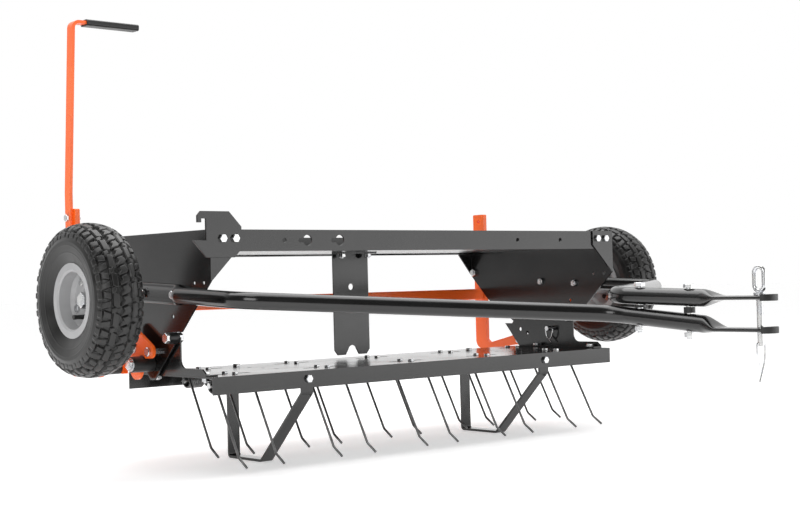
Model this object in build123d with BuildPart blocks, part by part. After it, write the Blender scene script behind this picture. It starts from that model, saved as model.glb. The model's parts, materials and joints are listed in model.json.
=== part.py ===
from build123d import *
import math
import os

# Tow-behind lawn dethatcher: carrier platform, spring-tine tray, lift frame and drawbar.
# The frame is +Z up with Z = 0 on the ground under the parking stands. +Y is the rear of the
# implement and -Y is the hitch end. X = 0 is the middle, and Y = 0 is halfway along.

os.makedirs("parts", exist_ok=True)

# ---------------------------------------------------------------------------
# Driving dimensions (mm)
# ---------------------------------------------------------------------------
SHEET = 3.0                # sheet steel of the platform and the tray
BODY_HALF = 499.2          # middle to the inner face of a side plate
AXLE_Y = 304.3             # wheel axle, lift lever back
AXLE_Z = 304.3

# Side plates
PLATE_FRONT_Y = AXLE_Y - 151.0
PLATE_DEPTH = 435.4
PLATE_TOP_Z = 417.4
PLATE_SHOULDER_Z = 332.0   # where the upright edges end
PLATE_TIP_Z = 160.0
FLANGE = 57.7              # width of the front and rear flanges turned inwards

# Deck and its two angle bars
DECK_Z = 383.3             # underside of the deck
BAR_LEG = 30.0             # leg of each angle bar under the deck
BAR_END_GAP = 2.0          # bar and deck ends to the side plates
REAR_BAR_RISE = 3.0        # rear bar's height over the side plates

# Drawbar
TUBE_OD = 28.0
TUBE_WALL = 1.5
EAR_HEIGHT = 36.0          # flattened tube end, across
EAR_THICK = 8.0
EAR_Z = 311.5              # height of the flattened ends at the wheel axle
LEAD_FALL = 0.05           # fall of the ears and the straight leads, per mm forwards
LEAD_END = 255.0           # wheel axle to the bend inwards
LOWER_FALL = 0.087         # fall of each tongue per mm forwards, counted from EAR_Z
UPPER_FALL = 0.0344
BEND_RADIUS = 60.0         # of the tubes' middle line
DRAWBAR_REACH = 905.0      # wheel axle to the drawbar's tip
TONGUE_BEND = 590.0        # wheel axle to the bend into the tongue
CLEVIS_THICK = 7.0
CLEVIS_WIDTH = 40.0
CLEVIS_LENGTH = 100.0
CLEVIS_GAP = 41.6          # open height between the two clevis ears
CLEVIS_MID_Z = 260.5

# Tray and its side brackets
TRAY_TOP_Z = 170.4
TRAY_FLANGE = 30.3         # depth of the front and rear flanges
TRAY_FRONT_Y = AXLE_Y - 141.0
TRAY_DEPTH = 279.0
WEB_GAP = 3.0              # side bracket to the side plate
FOOT = 25.0                # foot of a side bracket, on the tray
WEB_TOP_Z = 236.0

# Spring tines
WIRE = 4.5
COIL_OD = 29.0
COIL_TURNS = 7
COIL_Z = 152.0
COIL_START = 9.35          # middle of a tine to the first turn
TINE_PITCH = 200.0         # spacing along a row
ROW_FRONT_Y = AXLE_Y - 84.0
ROW_GAP = 162.0            # between the two rows
LEG_LEAN = 29.0            # degrees forwards from upright
LEG_DROP = 117.0           # coil axis to the bend of a leg
TOE = (-23.0, -15.0)       # bend to tip, along Y and Z
TINE_ROD = 10.0

# Parking stands
STAND_X = 298.5
STAND_WIDTH = 25.0
STAND_THICK = 5.0
STAND_FOOT_FRONT = -6.0    # front of the foot segment, behind the axle
STAND_FOOT_REAR = 99.1

# Lift frame
ARM_GAP = 19.8             # side plate to a lift arm
ARM_THICK = 10.0
ARM_WIDTH = 35.0
ARM_TOP_Z = 474.0
ARM_LOW_Z = 160.0
LOW_BAR = 23.0             # height of the arm's forward leg at the carrier
LEG_RISE = 11.0            # rise of the leg from the arm's heel to the carrier
PIVOT_INSET = 13.0         # pivot bolt to the plate's rear edge
PIVOT_Z = 338.0
CROSSBAR = 25.0
CROSSBAR_WALL = 3.0
LEVER_WIDTH = 20.0
LEVER_THICK = 6.0
LEVER_TOP_Z = 826.0
LEVER_BEND_Z = 505.0
LEVER_LEAN = 23.5          # how far forward the lever's top lies
GRIP_LENGTH = 110.0

# Wheels
TRACK_HALF = 647.5
TYRE_RADIUS = 131.0
TYRE_WIDTH = 85.0
RIM_LIP = 63.0
BEAD_SEAT = 50.8
RIM_WIDTH = 64.0
RIM_STEEL = 2.5
HUB_RADIUS = 17.0
RIM_BOLT_CIRCLE = 34.0

# Fits
HOLE_GAP = 0.25            # bolt to its hole, radial
THREAD_GAP = 0.05          # bolt to its nut, radial
RUNNING_GAP = 0.08         # turning or sliding pin to its bore, radial
SIDE_GAP = 0.3             # between faces that move past each other
WASHER = 2.0               # thickness of a washer

# Fasteners: shank, head across flats, head height, nut height
M6 = (6.0, 10.0, 4.0, 5.0)
M8 = (8.0, 13.0, 5.3, 6.8)
M10 = (10.0, 16.0, 6.4, 8.0)
M16 = (16.0, 24.0, 10.0, 13.0)

# ---------------------------------------------------------------------------
# Places worked out from the driving dimensions
# ---------------------------------------------------------------------------
PLATE_REAR_Y = PLATE_FRONT_Y + PLATE_DEPTH
PLATE_OUT = BODY_HALF + SHEET
PIVOT_Y = PLATE_REAR_Y - PIVOT_INSET
WEB_OUT = BODY_HALF - WEB_GAP
TRAY_REAR_Y = TRAY_FRONT_Y + TRAY_DEPTH
TRAY_UNDER_Z = TRAY_TOP_Z - SHEET
ROW_REAR_Y = ROW_FRONT_Y + ROW_GAP
COIL_R = (COIL_OD - WIRE) / 2
EAR_OUT = PLATE_OUT + EAR_THICK
ARM_IN = PLATE_OUT + ARM_GAP
ARM_OUT = ARM_IN + ARM_THICK
ARM_FRONT_Y = PIVOT_Y - 10.0
ARM_MID_Y = ARM_FRONT_Y + ARM_WIDTH / 2
BAR_HALF = BODY_HALF - BAR_END_GAP
CROSSBAR_BORE = CROSSBAR - 2 * CROSSBAR_WALL
BAR_BOTTOM_Z = DECK_Z - SHEET

FACING = {
    "front": (90, 0, 0),
    "rear": (-90, 0, 0),
    "right": (0, 90, 0),
    "left": (0, -90, 0),
    "up": (0, 0, 0),
    "down": (180, 0, 0),
}
OPPOSITE = {
    "front": "rear",
    "rear": "front",
    "right": "left",
    "left": "right",
    "up": "down",
    "down": "up",
}
OUTWARD = {-1: "left", 1: "right"}


def step(facing, distance):
    """Offset of the given distance in the direction that a fastener's head faces."""
    towards = {
        "front": (0, -1, 0),
        "rear": (0, 1, 0),
        "right": (1, 0, 0),
        "left": (-1, 0, 0),
        "up": (0, 0, 1),
        "down": (0, 0, -1),
    }[facing]
    return tuple(distance * component for component in towards)


def bolt_shape(thread, length):
    """Hex bolt along Z: its head stands on Z = 0 and its shank hangs below."""
    shank, across, head, _ = thread
    with BuildPart() as bolt:
        with BuildSketch():
            RegularPolygon(across / 2, 6, major_radius=False)
        extrude(amount=head)
        chamfer(bolt.faces().sort_by(Axis.Z)[-1].edges(), 0.1 * shank)
        with BuildSketch():
            Circle(shank / 2)
        extrude(amount=-length)
    return bolt.part


def nut_shape(thread):
    """Hex nut standing on Z = 0, bored to clear the shank."""
    shank, across, _, height = thread
    with BuildPart() as nut:
        with BuildSketch():
            RegularPolygon(across / 2, 6, major_radius=False)
            Circle(shank / 2 + THREAD_GAP, mode=Mode.SUBTRACT)
        extrude(amount=height)
        chamfer(nut.faces().sort_by(Axis.Z)[-1].outer_wire().edges(), 0.1 * shank)
    return nut.part


def head_place(seat, facing):
    """Location of a fastener whose head is seated at a point and faces a direction."""
    return Location(seat, FACING[facing])


def nut_place(seat, facing, grip):
    """Location of the nut on the far side of what a bolt clamps."""
    back = step(facing, -grip)
    point = tuple(start + move for start, move in zip(seat, back))
    return Location(point, FACING[OPPOSITE[facing]])


def reach(thread, grip):
    """Shank length that passes the grip and the nut and shows two threads."""
    return grip + thread[3] + 2.0


# ---------------------------------------------------------------------------
# Bolted joints: seat of the head, direction it faces, clamped thickness, thread
# ---------------------------------------------------------------------------
BAR_BOLT_X = (BODY_HALF - 44.2, BODY_HALF - 19.2)
BAR_BOLT_Z = 402.0
HOOK_BRACKET_THICK = 4.0                 # plate at the front left corner
EAR_BOLT_Y = (AXLE_Y - 44.0, AXLE_Y + 56.0)
LOCATOR = (AXLE_Y - 28.0, 235.0)         # tray bracket's front bolt, riding in a plate notch
LOCATOR_SLEEVE = 20.0
LOCATOR_LENGTH = 17.0
PEG = (AXLE_Y + 46.0, 189.0)             # black roller peg on the side plate
PEG_RADIUS = 14.0
PEG_LENGTH = 41.0
HOOK_GAP = 13.8                          # side plate to the hook plate
HOOK_THICK = 6.0
HOOK_BOLT = (AXLE_Y + 75.0, 218.0)
LATCH = (AXLE_Y + 22.0, 211.0)           # latch pin through hook plate, side plate and bracket
LATCH_PIN = 10.0
CENTER_Y = AXLE_Y + 110.0                # accessory bracket under the deck
CENTER_HALF = 45.0
STAND_TOP_Y = AXLE_Y + 84.0              # bolt of the stand's rear tab
STAND_FRONT_Z = 156.0                    # bolt of the stand's front tab
WEB_FOOT_Y = (AXLE_Y - 97.0, AXLE_Y + 60.0)
FOOT_BOLT_X = WEB_OUT - 14.0
TONGUE_BOLT_Y = (AXLE_Y - 645.0, AXLE_Y - 745.0)
HITCH_Y = AXLE_Y - 877.0
HITCH_PIN = 10.0
TIP_Y = AXLE_Y - DRAWBAR_REACH
HOOK_IN = PLATE_OUT + HOOK_GAP
HOOK_OUT = HOOK_IN + HOOK_THICK
CARRIER_GAP = 34.0                       # lift arm to the wheel carrier
CARRIER_IN = ARM_OUT + CARRIER_GAP
CARRIER_THICK = 6.0
CARRIER_OUT = CARRIER_IN + CARRIER_THICK
CARRIER_BOLTS = ((AXLE_Y + 108.0, 182.5), (AXLE_Y + 150.0, 182.5))
LEVER_BOLT_Z = (415.0, 457.0)
BUSH_RADIUS = 11.0


def ear_z(y):
    """Height of a drawbar tube's axis at a place along Y, from its ear to the bend."""
    return EAR_Z - LEAD_FALL * (AXLE_Y - y)


def tongue_z(y, fall):
    """Height of a drawbar tube's axis at a place along Y, in front of the second bend."""
    return EAR_Z - fall * (AXLE_Y - y)


frame_joints = []
for side in (-1, 1):
    for place in BAR_BOLT_X:
        hook = HOOK_BRACKET_THICK if side < 0 else 0.0
        front_seat = (side * place, PLATE_FRONT_Y - hook, BAR_BOLT_Z)
        frame_joints.append((front_seat, "front", hook + 2 * SHEET, M8))
        frame_joints.append(((side * place, PLATE_REAR_Y, BAR_BOLT_Z), "rear", 2 * SHEET, M8))
    for y in EAR_BOLT_Y:
        frame_joints.append(((side * EAR_OUT, y, ear_z(y)), OUTWARD[side], EAR_THICK + SHEET, M8))
    pivot_seat = (side * (ARM_OUT + SIDE_GAP), PIVOT_Y, PIVOT_Z)
    frame_joints.append((pivot_seat, OUTWARD[side], ARM_OUT + SIDE_GAP - BODY_HALF, M10))
for x in (-CENTER_HALF + 12.0, CENTER_HALF - 12.0):
    frame_joints.append(((x, CENTER_Y - 16.0, DECK_Z + SHEET), "up", 2 * SHEET, M8))
for index, y in enumerate(TONGUE_BOLT_Y):
    top = tongue_z(y, UPPER_FALL) + TUBE_OD / 2
    bottom = tongue_z(y, LOWER_FALL) - TUBE_OD / 2
    frame_joints.append(((0, y, top + 1.5), "up", top - bottom + 3.0, M10))

tray_joints = []
for side in (-1, 1):
    for y in WEB_FOOT_Y:
        tray_joints.append(((side * FOOT_BOLT_X, y, TRAY_TOP_Z + SHEET), "up", 2 * SHEET, M8))
    tray_joints.append(((side * STAND_X, STAND_TOP_Y, TRAY_TOP_Z), "up", SHEET + STAND_THICK, M8))
    tray_joints.append(((side * STAND_X, TRAY_FRONT_Y, STAND_FRONT_Z), "front", SHEET + STAND_THICK, M8))

# Ten double tines: the front row is set over by an eighth of its pitch each way
tines = []
for row, y, start in (("front", ROW_FRONT_Y, -2.125), ("rear", ROW_REAR_Y, -1.875)):
    for number in range(5):
        tines.append((f"tine_{row}_{number + 1}", (start + number) * TINE_PITCH, y))
CLAMP_BOLT = 16.0          # clamp bolt from the tine's rod, along Y
for _, x, y in tines:
    for along in (-CLAMP_BOLT, CLAMP_BOLT):
        tray_joints.append(((x, y + along, TRAY_TOP_Z), "up", 2 * SHEET, M6))

lift_joints = []
for side in (-1, 1):
    for y, z in CARRIER_BOLTS:
        lift_joints.append(((side * CARRIER_OUT, y, z), OUTWARD[side], CARRIER_OUT - ARM_IN, M10))
for z in LEVER_BOLT_Z:
    lift_joints.append(((-(ARM_OUT + LEVER_THICK), ARM_MID_Y, z), "left", LEVER_THICK + ARM_THICK, M8))

# ---------------------------------------------------------------------------
# Platform: side plates
# ---------------------------------------------------------------------------
for side, name in ((-1, "side_plate_left"), (1, "side_plate_right")):
    inner = Plane.YZ.offset(BODY_HALF)
    with BuildPart() as side_plate:
        with BuildSketch(inner):
            with BuildLine():
                Polyline(
                    (PLATE_FRONT_Y, PLATE_TOP_Z),
                    (PLATE_REAR_Y, PLATE_TOP_Z),
                    (PLATE_REAR_Y, PLATE_SHOULDER_Z),
                    (PLATE_REAR_Y - 55.4, PLATE_SHOULDER_Z - 56.0),
                    (AXLE_Y + 70.0, PLATE_TIP_Z + 18.0),
                    (AXLE_Y + 52.0, PLATE_TIP_Z),
                    (AXLE_Y + 38.0, PLATE_TIP_Z),
                    (PLATE_FRONT_Y, PLATE_SHOULDER_Z),
                    close=True,
                )
            make_face()
            with Locations(LOCATOR):
                Circle(LOCATOR_SLEEVE / 2 + HOLE_GAP, mode=Mode.SUBTRACT)
            with Locations((LOCATOR[0] - 20.0, LOCATOR[1])):
                Rectangle(40.0, LOCATOR_SLEEVE + 2 * HOLE_GAP, mode=Mode.SUBTRACT)
        extrude(amount=SHEET)
        for flange_y, flange_depth, end_z in (
            (PLATE_FRONT_Y + SHEET, FLANGE, PLATE_TOP_Z - 29.0),
            (PLATE_REAR_Y, FLANGE - 11.0, PLATE_TOP_Z - 29.0),
        ):
            with BuildSketch(Plane.XZ.offset(-flange_y)):
                with BuildLine():
                    Polyline(
                        (BODY_HALF, PLATE_TOP_Z),
                        (BODY_HALF - flange_depth, PLATE_TOP_Z),
                        (BODY_HALF - flange_depth, end_z),
                        (BODY_HALF, PLATE_SHOULDER_Z),
                        close=True,
                    )
                make_face()
            extrude(amount=SHEET)
        with BuildSketch(inner):
            with Locations(*[(y, ear_z(y)) for y in EAR_BOLT_Y]):
                Circle(M8[0] / 2 + HOLE_GAP)
            with Locations((PIVOT_Y, PIVOT_Z), PEG):
                Circle(M10[0] / 2 + THREAD_GAP)
            with Locations(HOOK_BOLT):
                Circle(M8[0] / 2 + THREAD_GAP)
            with Locations(LATCH):
                Circle(LATCH_PIN / 2 + RUNNING_GAP)
            with Locations((AXLE_Y - 98.5, 328.7), (AXLE_Y - 127.6, 328.7), (AXLE_Y - 28.0, 272.0)):
                Circle(3.5)
        extrude(amount=SHEET, mode=Mode.SUBTRACT)
        for seat_y in (PLATE_FRONT_Y, PLATE_REAR_Y - SHEET):
            with BuildSketch(Plane.XZ.offset(-(seat_y + SHEET))):
                with Locations(*[(x, BAR_BOLT_Z) for x in BAR_BOLT_X]):
                    Circle(M8[0] / 2 + HOLE_GAP)
            extrude(amount=SHEET, mode=Mode.SUBTRACT)
        if side < 0:
            mirror(about=Plane.YZ, mode=Mode.REPLACE)
    side_plate.part.label = name
    export_step(side_plate.part, f"parts/{name}.step")

# ---------------------------------------------------------------------------
# Platform: angle bars, deck and brackets
# ---------------------------------------------------------------------------
FRONT_BAR_Y = PLATE_FRONT_Y + SHEET      # front face of the front bar
REAR_BAR_Y = PLATE_REAR_Y - SHEET        # rear face of the rear bar

with BuildPart() as front_bar:
    with BuildSketch(Plane.XZ.offset(-(FRONT_BAR_Y + SHEET))):
        with Locations((0, (BAR_BOTTOM_Z + PLATE_TOP_Z) / 2)):
            Rectangle(2 * BAR_HALF, PLATE_TOP_Z - BAR_BOTTOM_Z)
        with Locations((-348.0, BAR_BOLT_Z - 3.0), (222.6, BAR_BOLT_Z - 3.0), (345.7, BAR_BOLT_Z - 3.0)):
            Circle(4.25, mode=Mode.SUBTRACT)
        for keyhole_x in (-298.0, -226.0):
            with Locations((keyhole_x, BAR_BOLT_Z - 3.0)):
                Circle(9.5, mode=Mode.SUBTRACT)
            with Locations((keyhole_x - 11.0, BAR_BOLT_Z - 3.0)):
                SlotOverall(18.0, 8.0, mode=Mode.SUBTRACT)
        for side in (-1, 1):
            with Locations(*[(side * x, BAR_BOLT_Z) for x in BAR_BOLT_X]):
                Circle(M8[0] / 2 + HOLE_GAP, mode=Mode.SUBTRACT)
    extrude(amount=SHEET)
    with BuildSketch(Plane.XY.offset(BAR_BOTTOM_Z)):
        with Locations((0, FRONT_BAR_Y + BAR_LEG / 2)):
            Rectangle(2 * BAR_HALF, BAR_LEG)
    extrude(amount=SHEET)
front_bar.part.label = "front_bar"
export_step(front_bar.part, "parts/front_bar.step")

with BuildPart() as rear_bar:
    rear_top = PLATE_TOP_Z + REAR_BAR_RISE
    with BuildSketch(Plane.XZ.offset(-REAR_BAR_Y)):
        with Locations((0, (BAR_BOTTOM_Z + rear_top) / 2)):
            Rectangle(2 * BAR_HALF, rear_top - BAR_BOTTOM_Z)
        for side in (-1, 1):
            with Locations(*[(side * x, BAR_BOLT_Z) for x in BAR_BOLT_X]):
                Circle(M8[0] / 2 + HOLE_GAP, mode=Mode.SUBTRACT)
    extrude(amount=SHEET)
    with BuildSketch(Plane.XY.offset(BAR_BOTTOM_Z)):
        with Locations((0, REAR_BAR_Y - BAR_LEG / 2)):
            Rectangle(2 * BAR_HALF, BAR_LEG)
    extrude(amount=SHEET)
rear_bar.part.label = "rear_bar"
export_step(rear_bar.part, "parts/rear_bar.step")

CENTER_BOLTS = [(x, CENTER_Y - 16.0) for x in (-CENTER_HALF + 12.0, CENTER_HALF - 12.0)]

with BuildPart() as deck_plate:
    with BuildSketch(Plane.XY.offset(DECK_Z)):
        with Locations((0, (FRONT_BAR_Y + REAR_BAR_Y) / 2)):
            Rectangle(2 * BAR_HALF, REAR_BAR_Y - FRONT_BAR_Y - 2 * SHEET)
        with Locations(*CENTER_BOLTS):
            Circle(M8[0] / 2 + HOLE_GAP, mode=Mode.SUBTRACT)
    extrude(amount=SHEET)
deck_plate.part.label = "deck_plate"
export_step(deck_plate.part, "parts/deck_plate.step")

with BuildPart() as hook_bracket:
    with BuildSketch(Plane.XZ.offset(-PLATE_FRONT_Y)):
        with BuildLine():
            left = -BODY_HALF
            Polyline(
                (left - 29.5, 428.5),
                (left - 29.5, 440.0),
                (left - 22.8, 447.5),
                (left + 33.2, 447.5),
                (left + 57.7, 422.0),
                (left + 57.7, 385.0),
                (left + 43.2, 370.0),
                (left - 12.8, 370.0),
                (left - 38.2, 398.8),
                (left - 12.8, 398.8),
                (left - 12.8, 435.0),
                (left - 21.5, 435.0),
                (left - 21.5, 428.5),
                close=True,
            )
        make_face()
        with Locations(*[(-x, BAR_BOLT_Z) for x in BAR_BOLT_X]):
            Circle(M8[0] / 2 + HOLE_GAP, mode=Mode.SUBTRACT)
    extrude(amount=HOOK_BRACKET_THICK)
hook_bracket.part.label = "hook_bracket"
export_step(hook_bracket.part, "parts/hook_bracket.step")

CENTER_BOTTOM_Z = 177.0
with BuildPart() as center_bracket:
    with BuildSketch(Plane.XZ.offset(-(CENTER_Y + SHEET / 2))):
        with BuildLine():
            Polyline(
                (-CENTER_HALF, DECK_Z),
                (CENTER_HALF, DECK_Z),
                (CENTER_HALF, CENTER_BOTTOM_Z + 10.0),
                (CENTER_HALF - 8.0, CENTER_BOTTOM_Z),
                (-CENTER_HALF + 8.0, CENTER_BOTTOM_Z),
                (-CENTER_HALF, CENTER_BOTTOM_Z + 10.0),
                close=True,
            )
        make_face()
        with Locations((0, CENTER_BOTTOM_Z + 8.0)):
            Circle(11.0, mode=Mode.SUBTRACT)
        with BuildLine():
            Polyline(
                (-18.0, CENTER_BOTTOM_Z - 1.0),
                (-10.0, CENTER_BOTTOM_Z + 12.0),
                (10.0, CENTER_BOTTOM_Z + 12.0),
                (18.0, CENTER_BOTTOM_Z - 1.0),
                close=True,
            )
        make_face(mode=Mode.SUBTRACT)
        with Locations((0, 314.0)):
            Circle(6.5, mode=Mode.SUBTRACT)
    extrude(amount=SHEET)
    with BuildSketch(Plane.XY.offset(DECK_Z - SHEET)):
        with Locations((0, CENTER_Y - 14.75)):
            Rectangle(2 * CENTER_HALF, 32.5)
        with Locations(*CENTER_BOLTS):
            Circle(M8[0] / 2 + HOLE_GAP, mode=Mode.SUBTRACT)
    extrude(amount=SHEET)
center_bracket.part.label = "center_bracket"
export_step(center_bracket.part, "parts/center_bracket.step")

# ---------------------------------------------------------------------------
# Drawbar: two tubes, flattened at the plates and at the clevis
# ---------------------------------------------------------------------------
TUBE_X = PLATE_OUT + TUBE_OD / 2
BEND_BACK_Y = AXLE_Y - LEAD_END
BEND_FRONT_Y = AXLE_Y - TONGUE_BEND
ROUND_REAR_Y = AXLE_Y - 74.0
EAR_FRONT_Y = AXLE_Y - 50.0
EAR_REAR_Y = AXLE_Y + 74.0
CLEVIS_REAR_Y = TIP_Y + CLEVIS_LENGTH
CAP_WALL = 1.5
CLEVIS_END_Y = TIP_Y + CAP_WALL + CLEVIS_WIDTH / 2    # centre of the ears' round ends
JOGGLE = 20.0
TONGUE_END_Y = CLEVIS_REAR_Y + JOGGLE

for side, name, fall, clevis_z in (
    (-1, "drawbar_lower", LOWER_FALL, CLEVIS_MID_Z - CLEVIS_GAP / 2 - CLEVIS_THICK),
    (1, "drawbar_upper", UPPER_FALL, CLEVIS_MID_Z + CLEVIS_GAP / 2),
):
    with BuildPart() as drawbar:
        # Flattened ear on the side plate, in line with the tube's lead
        with BuildSketch(Plane.YZ.offset(PLATE_OUT)):
            with BuildLine():
                Polyline(
                    (EAR_REAR_Y, ear_z(EAR_REAR_Y) - EAR_HEIGHT / 2),
                    (EAR_REAR_Y, ear_z(EAR_REAR_Y) + EAR_HEIGHT / 2),
                    (EAR_FRONT_Y, ear_z(EAR_FRONT_Y) + EAR_HEIGHT / 2),
                    (EAR_FRONT_Y, ear_z(EAR_FRONT_Y) - EAR_HEIGHT / 2),
                    close=True,
                )
            make_face()
            with Locations(*[(y, ear_z(y)) for y in EAR_BOLT_Y]):
                Circle(M8[0] / 2 + HOLE_GAP, mode=Mode.SUBTRACT)
        extrude(amount=EAR_THICK)
        # Round run: straight lead, diagonal and straight tongue
        with BuildLine() as route:
            FilletPolyline(
                (TUBE_X, ROUND_REAR_Y, ear_z(ROUND_REAR_Y)),
                (TUBE_X, BEND_BACK_Y, ear_z(BEND_BACK_Y)),
                (0, BEND_FRONT_Y, tongue_z(BEND_FRONT_Y, fall)),
                (0, TONGUE_END_Y, tongue_z(TONGUE_END_Y, fall)),
                radius=BEND_RADIUS,
            )
        rear_end = Plane(origin=route.line @ 0, z_dir=route.line % 0)
        front_end = Plane(origin=route.line @ 1, z_dir=route.line % 1)
        with BuildSketch(rear_end):
            Circle(TUBE_OD / 2)
            Circle(TUBE_OD / 2 - TUBE_WALL, mode=Mode.SUBTRACT)
        sweep(path=route.line)
        # Swage from the flat ear to the round tube
        with BuildSketch(Plane.XZ.offset(-EAR_FRONT_Y)):
            with Locations((PLATE_OUT + EAR_THICK / 2, ear_z(EAR_FRONT_Y))):
                SlotOverall(EAR_HEIGHT, EAR_THICK, rotation=90)
        with BuildSketch(rear_end):
            Circle(TUBE_OD / 2)
        loft()
        # Joggle into the flattened clevis ear
        with BuildSketch(front_end):
            Circle(TUBE_OD / 2)
        with BuildSketch(Plane.XZ.offset(-CLEVIS_REAR_Y)):
            with Locations((0, clevis_z + CLEVIS_THICK / 2)):
                SlotOverall(CLEVIS_WIDTH - 4.0, CLEVIS_THICK)
        loft()
        with BuildSketch(Plane.XY.offset(clevis_z)):
            with BuildLine():
                Polyline(
                    (CLEVIS_WIDTH / 2 - 2.0, CLEVIS_REAR_Y),
                    (CLEVIS_WIDTH / 2, CLEVIS_REAR_Y - 20.0),
                    (CLEVIS_WIDTH / 2, CLEVIS_END_Y),
                    (-CLEVIS_WIDTH / 2, CLEVIS_END_Y),
                    (-CLEVIS_WIDTH / 2, CLEVIS_REAR_Y - 20.0),
                    (-CLEVIS_WIDTH / 2 + 2.0, CLEVIS_REAR_Y),
                    close=True,
                )
            make_face()
            with Locations((0, CLEVIS_END_Y)):
                Circle(CLEVIS_WIDTH / 2)
            with Locations((0, HITCH_Y)):
                Circle(HITCH_PIN / 2 + RUNNING_GAP, mode=Mode.SUBTRACT)
        extrude(amount=CLEVIS_THICK)
        # Upright bores for the tongue bolts
        for bolt_y in TONGUE_BOLT_Y:
            with BuildSketch(Plane.XY.offset(tongue_z(bolt_y, fall) - TUBE_OD)):
                with Locations((0, bolt_y)):
                    Circle(M10[0] / 2 + HOLE_GAP)
            extrude(amount=2 * TUBE_OD, mode=Mode.SUBTRACT)
        if side < 0:
            mirror(about=Plane.YZ, mode=Mode.REPLACE)
    drawbar.part.label = name
    export_step(drawbar.part, f"parts/{name}.step")

CAP_LENGTH = 14.0
with BuildPart() as clevis_caps:
    for clevis_z in (CLEVIS_MID_Z - CLEVIS_GAP / 2 - CLEVIS_THICK, CLEVIS_MID_Z + CLEVIS_GAP / 2):
        with BuildSketch(Plane.XY.offset(clevis_z - CAP_WALL)):
            with Locations((0, CLEVIS_END_Y)):
                Circle(CLEVIS_WIDTH / 2 + CAP_WALL)
            with Locations((0, TIP_Y + CAP_LENGTH + CLEVIS_WIDTH)):
                Rectangle(2 * CLEVIS_WIDTH, 2 * CLEVIS_WIDTH, mode=Mode.SUBTRACT)
        extrude(amount=CLEVIS_THICK + 2 * CAP_WALL)
        with BuildSketch(Plane.XY.offset(clevis_z)):
            with Locations((0, CLEVIS_END_Y)):
                Circle(CLEVIS_WIDTH / 2)
        extrude(amount=CLEVIS_THICK, mode=Mode.SUBTRACT)
clevis_caps.part.label = "clevis_caps"
export_step(clevis_caps.part, "parts/clevis_caps.step")

# ---------------------------------------------------------------------------
# Platform: sleeves, pegs, hook plates and fasteners
# ---------------------------------------------------------------------------
with BuildPart() as frame_sleeves:
    for side in (-1, 1):
        # Pivot bush between the side plate and the lift arm
        with BuildSketch(Plane.YZ.offset(side * PLATE_OUT)):
            with Locations((PIVOT_Y, PIVOT_Z)):
                Circle(BUSH_RADIUS)
                Circle(M10[0] / 2 + THREAD_GAP, mode=Mode.SUBTRACT)
        extrude(amount=side * (ARM_GAP - SIDE_GAP))
        # Peg that steadies the tray bracket's hook
        with BuildSketch(Plane.YZ.offset(side * PLATE_OUT)):
            with Locations(PEG):
                Circle(PEG_RADIUS)
                Circle(M10[0] / 2 + THREAD_GAP, mode=Mode.SUBTRACT)
        extrude(amount=side * PEG_LENGTH)
        # Sleeve of the locating bolt, from the tray bracket out through the plate's notch
        with BuildSketch(Plane.YZ.offset(side * WEB_OUT)):
            with Locations(LOCATOR):
                Circle(LOCATOR_SLEEVE / 2)
                Circle(M10[0] / 2 + THREAD_GAP, mode=Mode.SUBTRACT)
        extrude(amount=side * LOCATOR_LENGTH)
        # Sleeves behind the hook plate
        with BuildSketch(Plane.YZ.offset(side * PLATE_OUT)):
            with Locations(HOOK_BOLT):
                Circle(9.0)
                Circle(M8[0] / 2 + THREAD_GAP, mode=Mode.SUBTRACT)
        extrude(amount=side * HOOK_GAP)
    # Spacers between the stacked tubes at the tongue bolts
    for bolt_y in TONGUE_BOLT_Y:
        lower_top = tongue_z(bolt_y, LOWER_FALL) + TUBE_OD / 2
        upper_bottom = tongue_z(bolt_y, UPPER_FALL) - TUBE_OD / 2
        with BuildSketch(Plane.XY.offset(lower_top + 1.0)):
            with Locations((0, bolt_y)):
                Circle(9.0)
                Circle(M10[0] / 2 + HOLE_GAP, mode=Mode.SUBTRACT)
        extrude(amount=upper_bottom - lower_top - 2.0)
frame_sleeves.part.label = "frame_sleeves"
export_step(frame_sleeves.part, "parts/frame_sleeves.step")

with BuildPart() as hook_plates:
    for side in (-1, 1):
        face_plane = Plane.YZ.offset(side * HOOK_IN)
        with BuildSketch(face_plane):
            with Locations((LATCH[0] - 2.0, LATCH[1] + 1.0)):
                Circle(12.5)
            with Locations((AXLE_Y + 85.0, 245.0)):
                Circle(14.0)
            with Locations(HOOK_BOLT):
                Circle(20.0)
            make_hull()
        extrude(amount=side * HOOK_THICK)
        with BuildSketch(face_plane):
            with Locations(HOOK_BOLT):
                Circle(20.0)
            with Locations((AXLE_Y + 68.0, 180.0)):
                Circle(19.0)
            make_hull()
        extrude(amount=side * HOOK_THICK)
        with BuildSketch(face_plane):
            with Locations(PEG):
                Circle(PEG_RADIUS + 1.5)
            with Locations(HOOK_BOLT):
                Circle(M8[0] / 2 + HOLE_GAP)
            with Locations(LATCH):
                Circle(LATCH_PIN / 2 + RUNNING_GAP)
        extrude(amount=side * HOOK_THICK, mode=Mode.SUBTRACT)
hook_plates.part.label = "hook_plates"
export_step(hook_plates.part, "parts/hook_plates.step")

# Bolts that end in a plate's own thread, without a nut: seat, facing, length, thread
threaded_bolts = []
for side in (-1, 1):
    facing = OUTWARD[side]
    for outer, place, thread in ((PLATE_OUT + PEG_LENGTH, PEG, M10), (HOOK_OUT, HOOK_BOLT, M8)):
        seat_x = outer + WASHER
        threaded_bolts.append(((side * seat_x, *place), facing, seat_x - BODY_HALF - 0.2, thread))

with BuildPart() as frame_bolts:
    for seat, facing, grip, thread in frame_joints:
        with Locations(head_place(seat, facing)):
            add(bolt_shape(thread, reach(thread, grip)))
    for seat, facing, length, thread in threaded_bolts:
        with Locations(head_place(seat, facing)):
            add(bolt_shape(thread, length))
frame_bolts.part.label = "frame_bolts"
export_step(frame_bolts.part, "parts/frame_bolts.step")

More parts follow.
